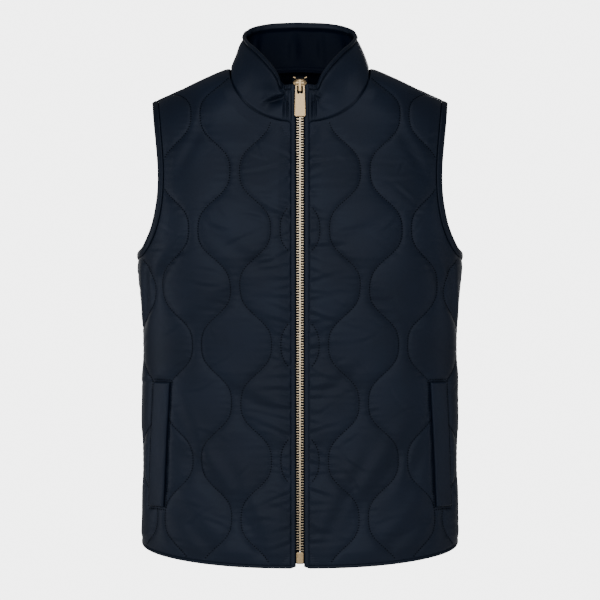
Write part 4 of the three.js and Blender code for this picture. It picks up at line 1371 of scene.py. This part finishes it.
LIT_POINT = Vector((0, 0, -0.3))
LIGHTS = table(
    "name place size watts",
    ("key_light", (-0.9, -2.9, 0.3), 1.3, 24),
    ("front_light", (0.9, -3.5, 0.1), 1.8, 27),
    ("top_light", (0.1, -1.7, 2.1), 1.0, 16),
    ("left_light", (-2.6, -0.7, -0.3), 1.2, 16),
    ("right_light", (2.6, -0.7, -0.3), 1.2, 6.5),
    ("back_light", (0.4, 3.3, 0.3), 1.8, 48),
    ("far_side_light", (-1.9, 3.0, 0.1), 1.4, 8),
    ("near_side_light", (1.9, 3.0, 0.1), 1.4, 5),
)
FLOOR_HALF = 2.1
FLOOR_LEVEL = -1.05
ROOM_STRENGTH = 0.17
PAPER_STRENGTH = 6.0           # of the white paper that only the camera sees
VIEW_WIDTH = 0.828
VIEW_DISTANCE = 3.0
VIEW_HEIGHT = -0.3146


class VEST_OT_stage(bpy.types.Operator):
    """Make the pale floor, the soft studio lights and the camera"""

    bl_idname = "vest.stage"
    bl_label = "Stage"

    def execute(self, context):
        scene = context.scene
        bm = bmesh.new()
        bmesh.ops.create_grid(bm, x_segments=1, y_segments=1, size=FLOOR_HALF)
        bmesh.ops.translate(bm, vec=(0, 0, FLOOR_LEVEL), verts=bm.verts)
        mesh = bpy.data.meshes.new("floor")
        bm.to_mesh(mesh)
        bm.free()
        floor = bpy.data.objects.new("floor", mesh)
        scene.collection.objects.link(floor)
        material, tree, shader = new_material("Matt white paint")
        shader.inputs["Base Color"].default_value = linear("#f7f7f7")
        shader.inputs["Roughness"].default_value = 0.9
        mesh.materials.append(material)
        world = scene.world or bpy.data.worlds.new("Studio")
        scene.world = world
        world.use_nodes = True
        tree = world.node_tree
        room = tree.nodes["Background"]
        room.inputs["Color"].default_value = (1, 1, 1, 1)
        room.inputs["Strength"].default_value = ROOM_STRENGTH
        paper = add_node(tree, "ShaderNodeBackground", {"in_Strength": PAPER_STRENGTH})
        seen = add_node(tree, "ShaderNodeLightPath").outputs["Is Camera Ray"]
        both = add_node(tree, "ShaderNodeMixShader", i0=seen, i1=room.outputs[0], i2=paper.outputs[0])
        tree.links.new(both.outputs[0], tree.nodes["World Output"].inputs[0])
        for row in LIGHTS:
            light = bpy.data.lights.new(row["name"], "AREA")
            light.size = row["size"]
            light.energy = row["watts"]
            lamp = bpy.data.objects.new(row["name"], light)
            lamp.location = row["place"]
            aim = LIT_POINT - lamp.location
            lamp.rotation_euler = aim.to_track_quat("-Z", "Y").to_euler()
            scene.collection.objects.link(lamp)
        camera = bpy.data.cameras.new("camera")
        camera.lens = camera.sensor_width * VIEW_DISTANCE / VIEW_WIDTH
        eye = bpy.data.objects.new("camera", camera)
        eye.location = (0, -VIEW_DISTANCE, VIEW_HEIGHT)
        eye.rotation_euler = (math.pi / 2, 0, 0)
        scene.collection.objects.link(eye)
        scene.camera = eye
        return {"FINISHED"}


class VEST_PT_panel(bpy.types.Panel):
    """Lists the vest's sizes and steps"""

    bl_label = "Quilted vest"
    bl_idname = "VEST_PT_panel"
    bl_space_type = "VIEW_3D"
    bl_region_type = "UI"
    bl_category = "Vest"

    def draw(self, context):
        for name in VestSizes.__annotations__:
            self.layout.prop(context.scene.vest_sizes, name)
        for step in STEPS:
            self.layout.operator(step.bl_idname)


STEPS = (VEST_OT_stage, VEST_OT_fronts, VEST_OT_back, VEST_OT_collar, VEST_OT_bindings, VEST_OT_welts,
         VEST_OT_zip)
CLASSES = (VestSizes, *STEPS, VEST_PT_panel)


def register():
    for cls in CLASSES:
        bpy.utils.register_class(cls)
    bpy.types.Scene.vest_sizes = PointerProperty(type=VestSizes)


def unregister():
    del bpy.types.Scene.vest_sizes
    for cls in reversed(CLASSES):
        bpy.utils.unregister_class(cls)


def main():
    register()
    bpy.ops.vest.stage()
    bpy.ops.vest.fronts()
    bpy.ops.vest.back()
    bpy.ops.vest.collar()
    bpy.ops.vest.bindings()
    bpy.ops.vest.welts()
    bpy.ops.vest.zip()


if __name__ == "__main__":
    main()
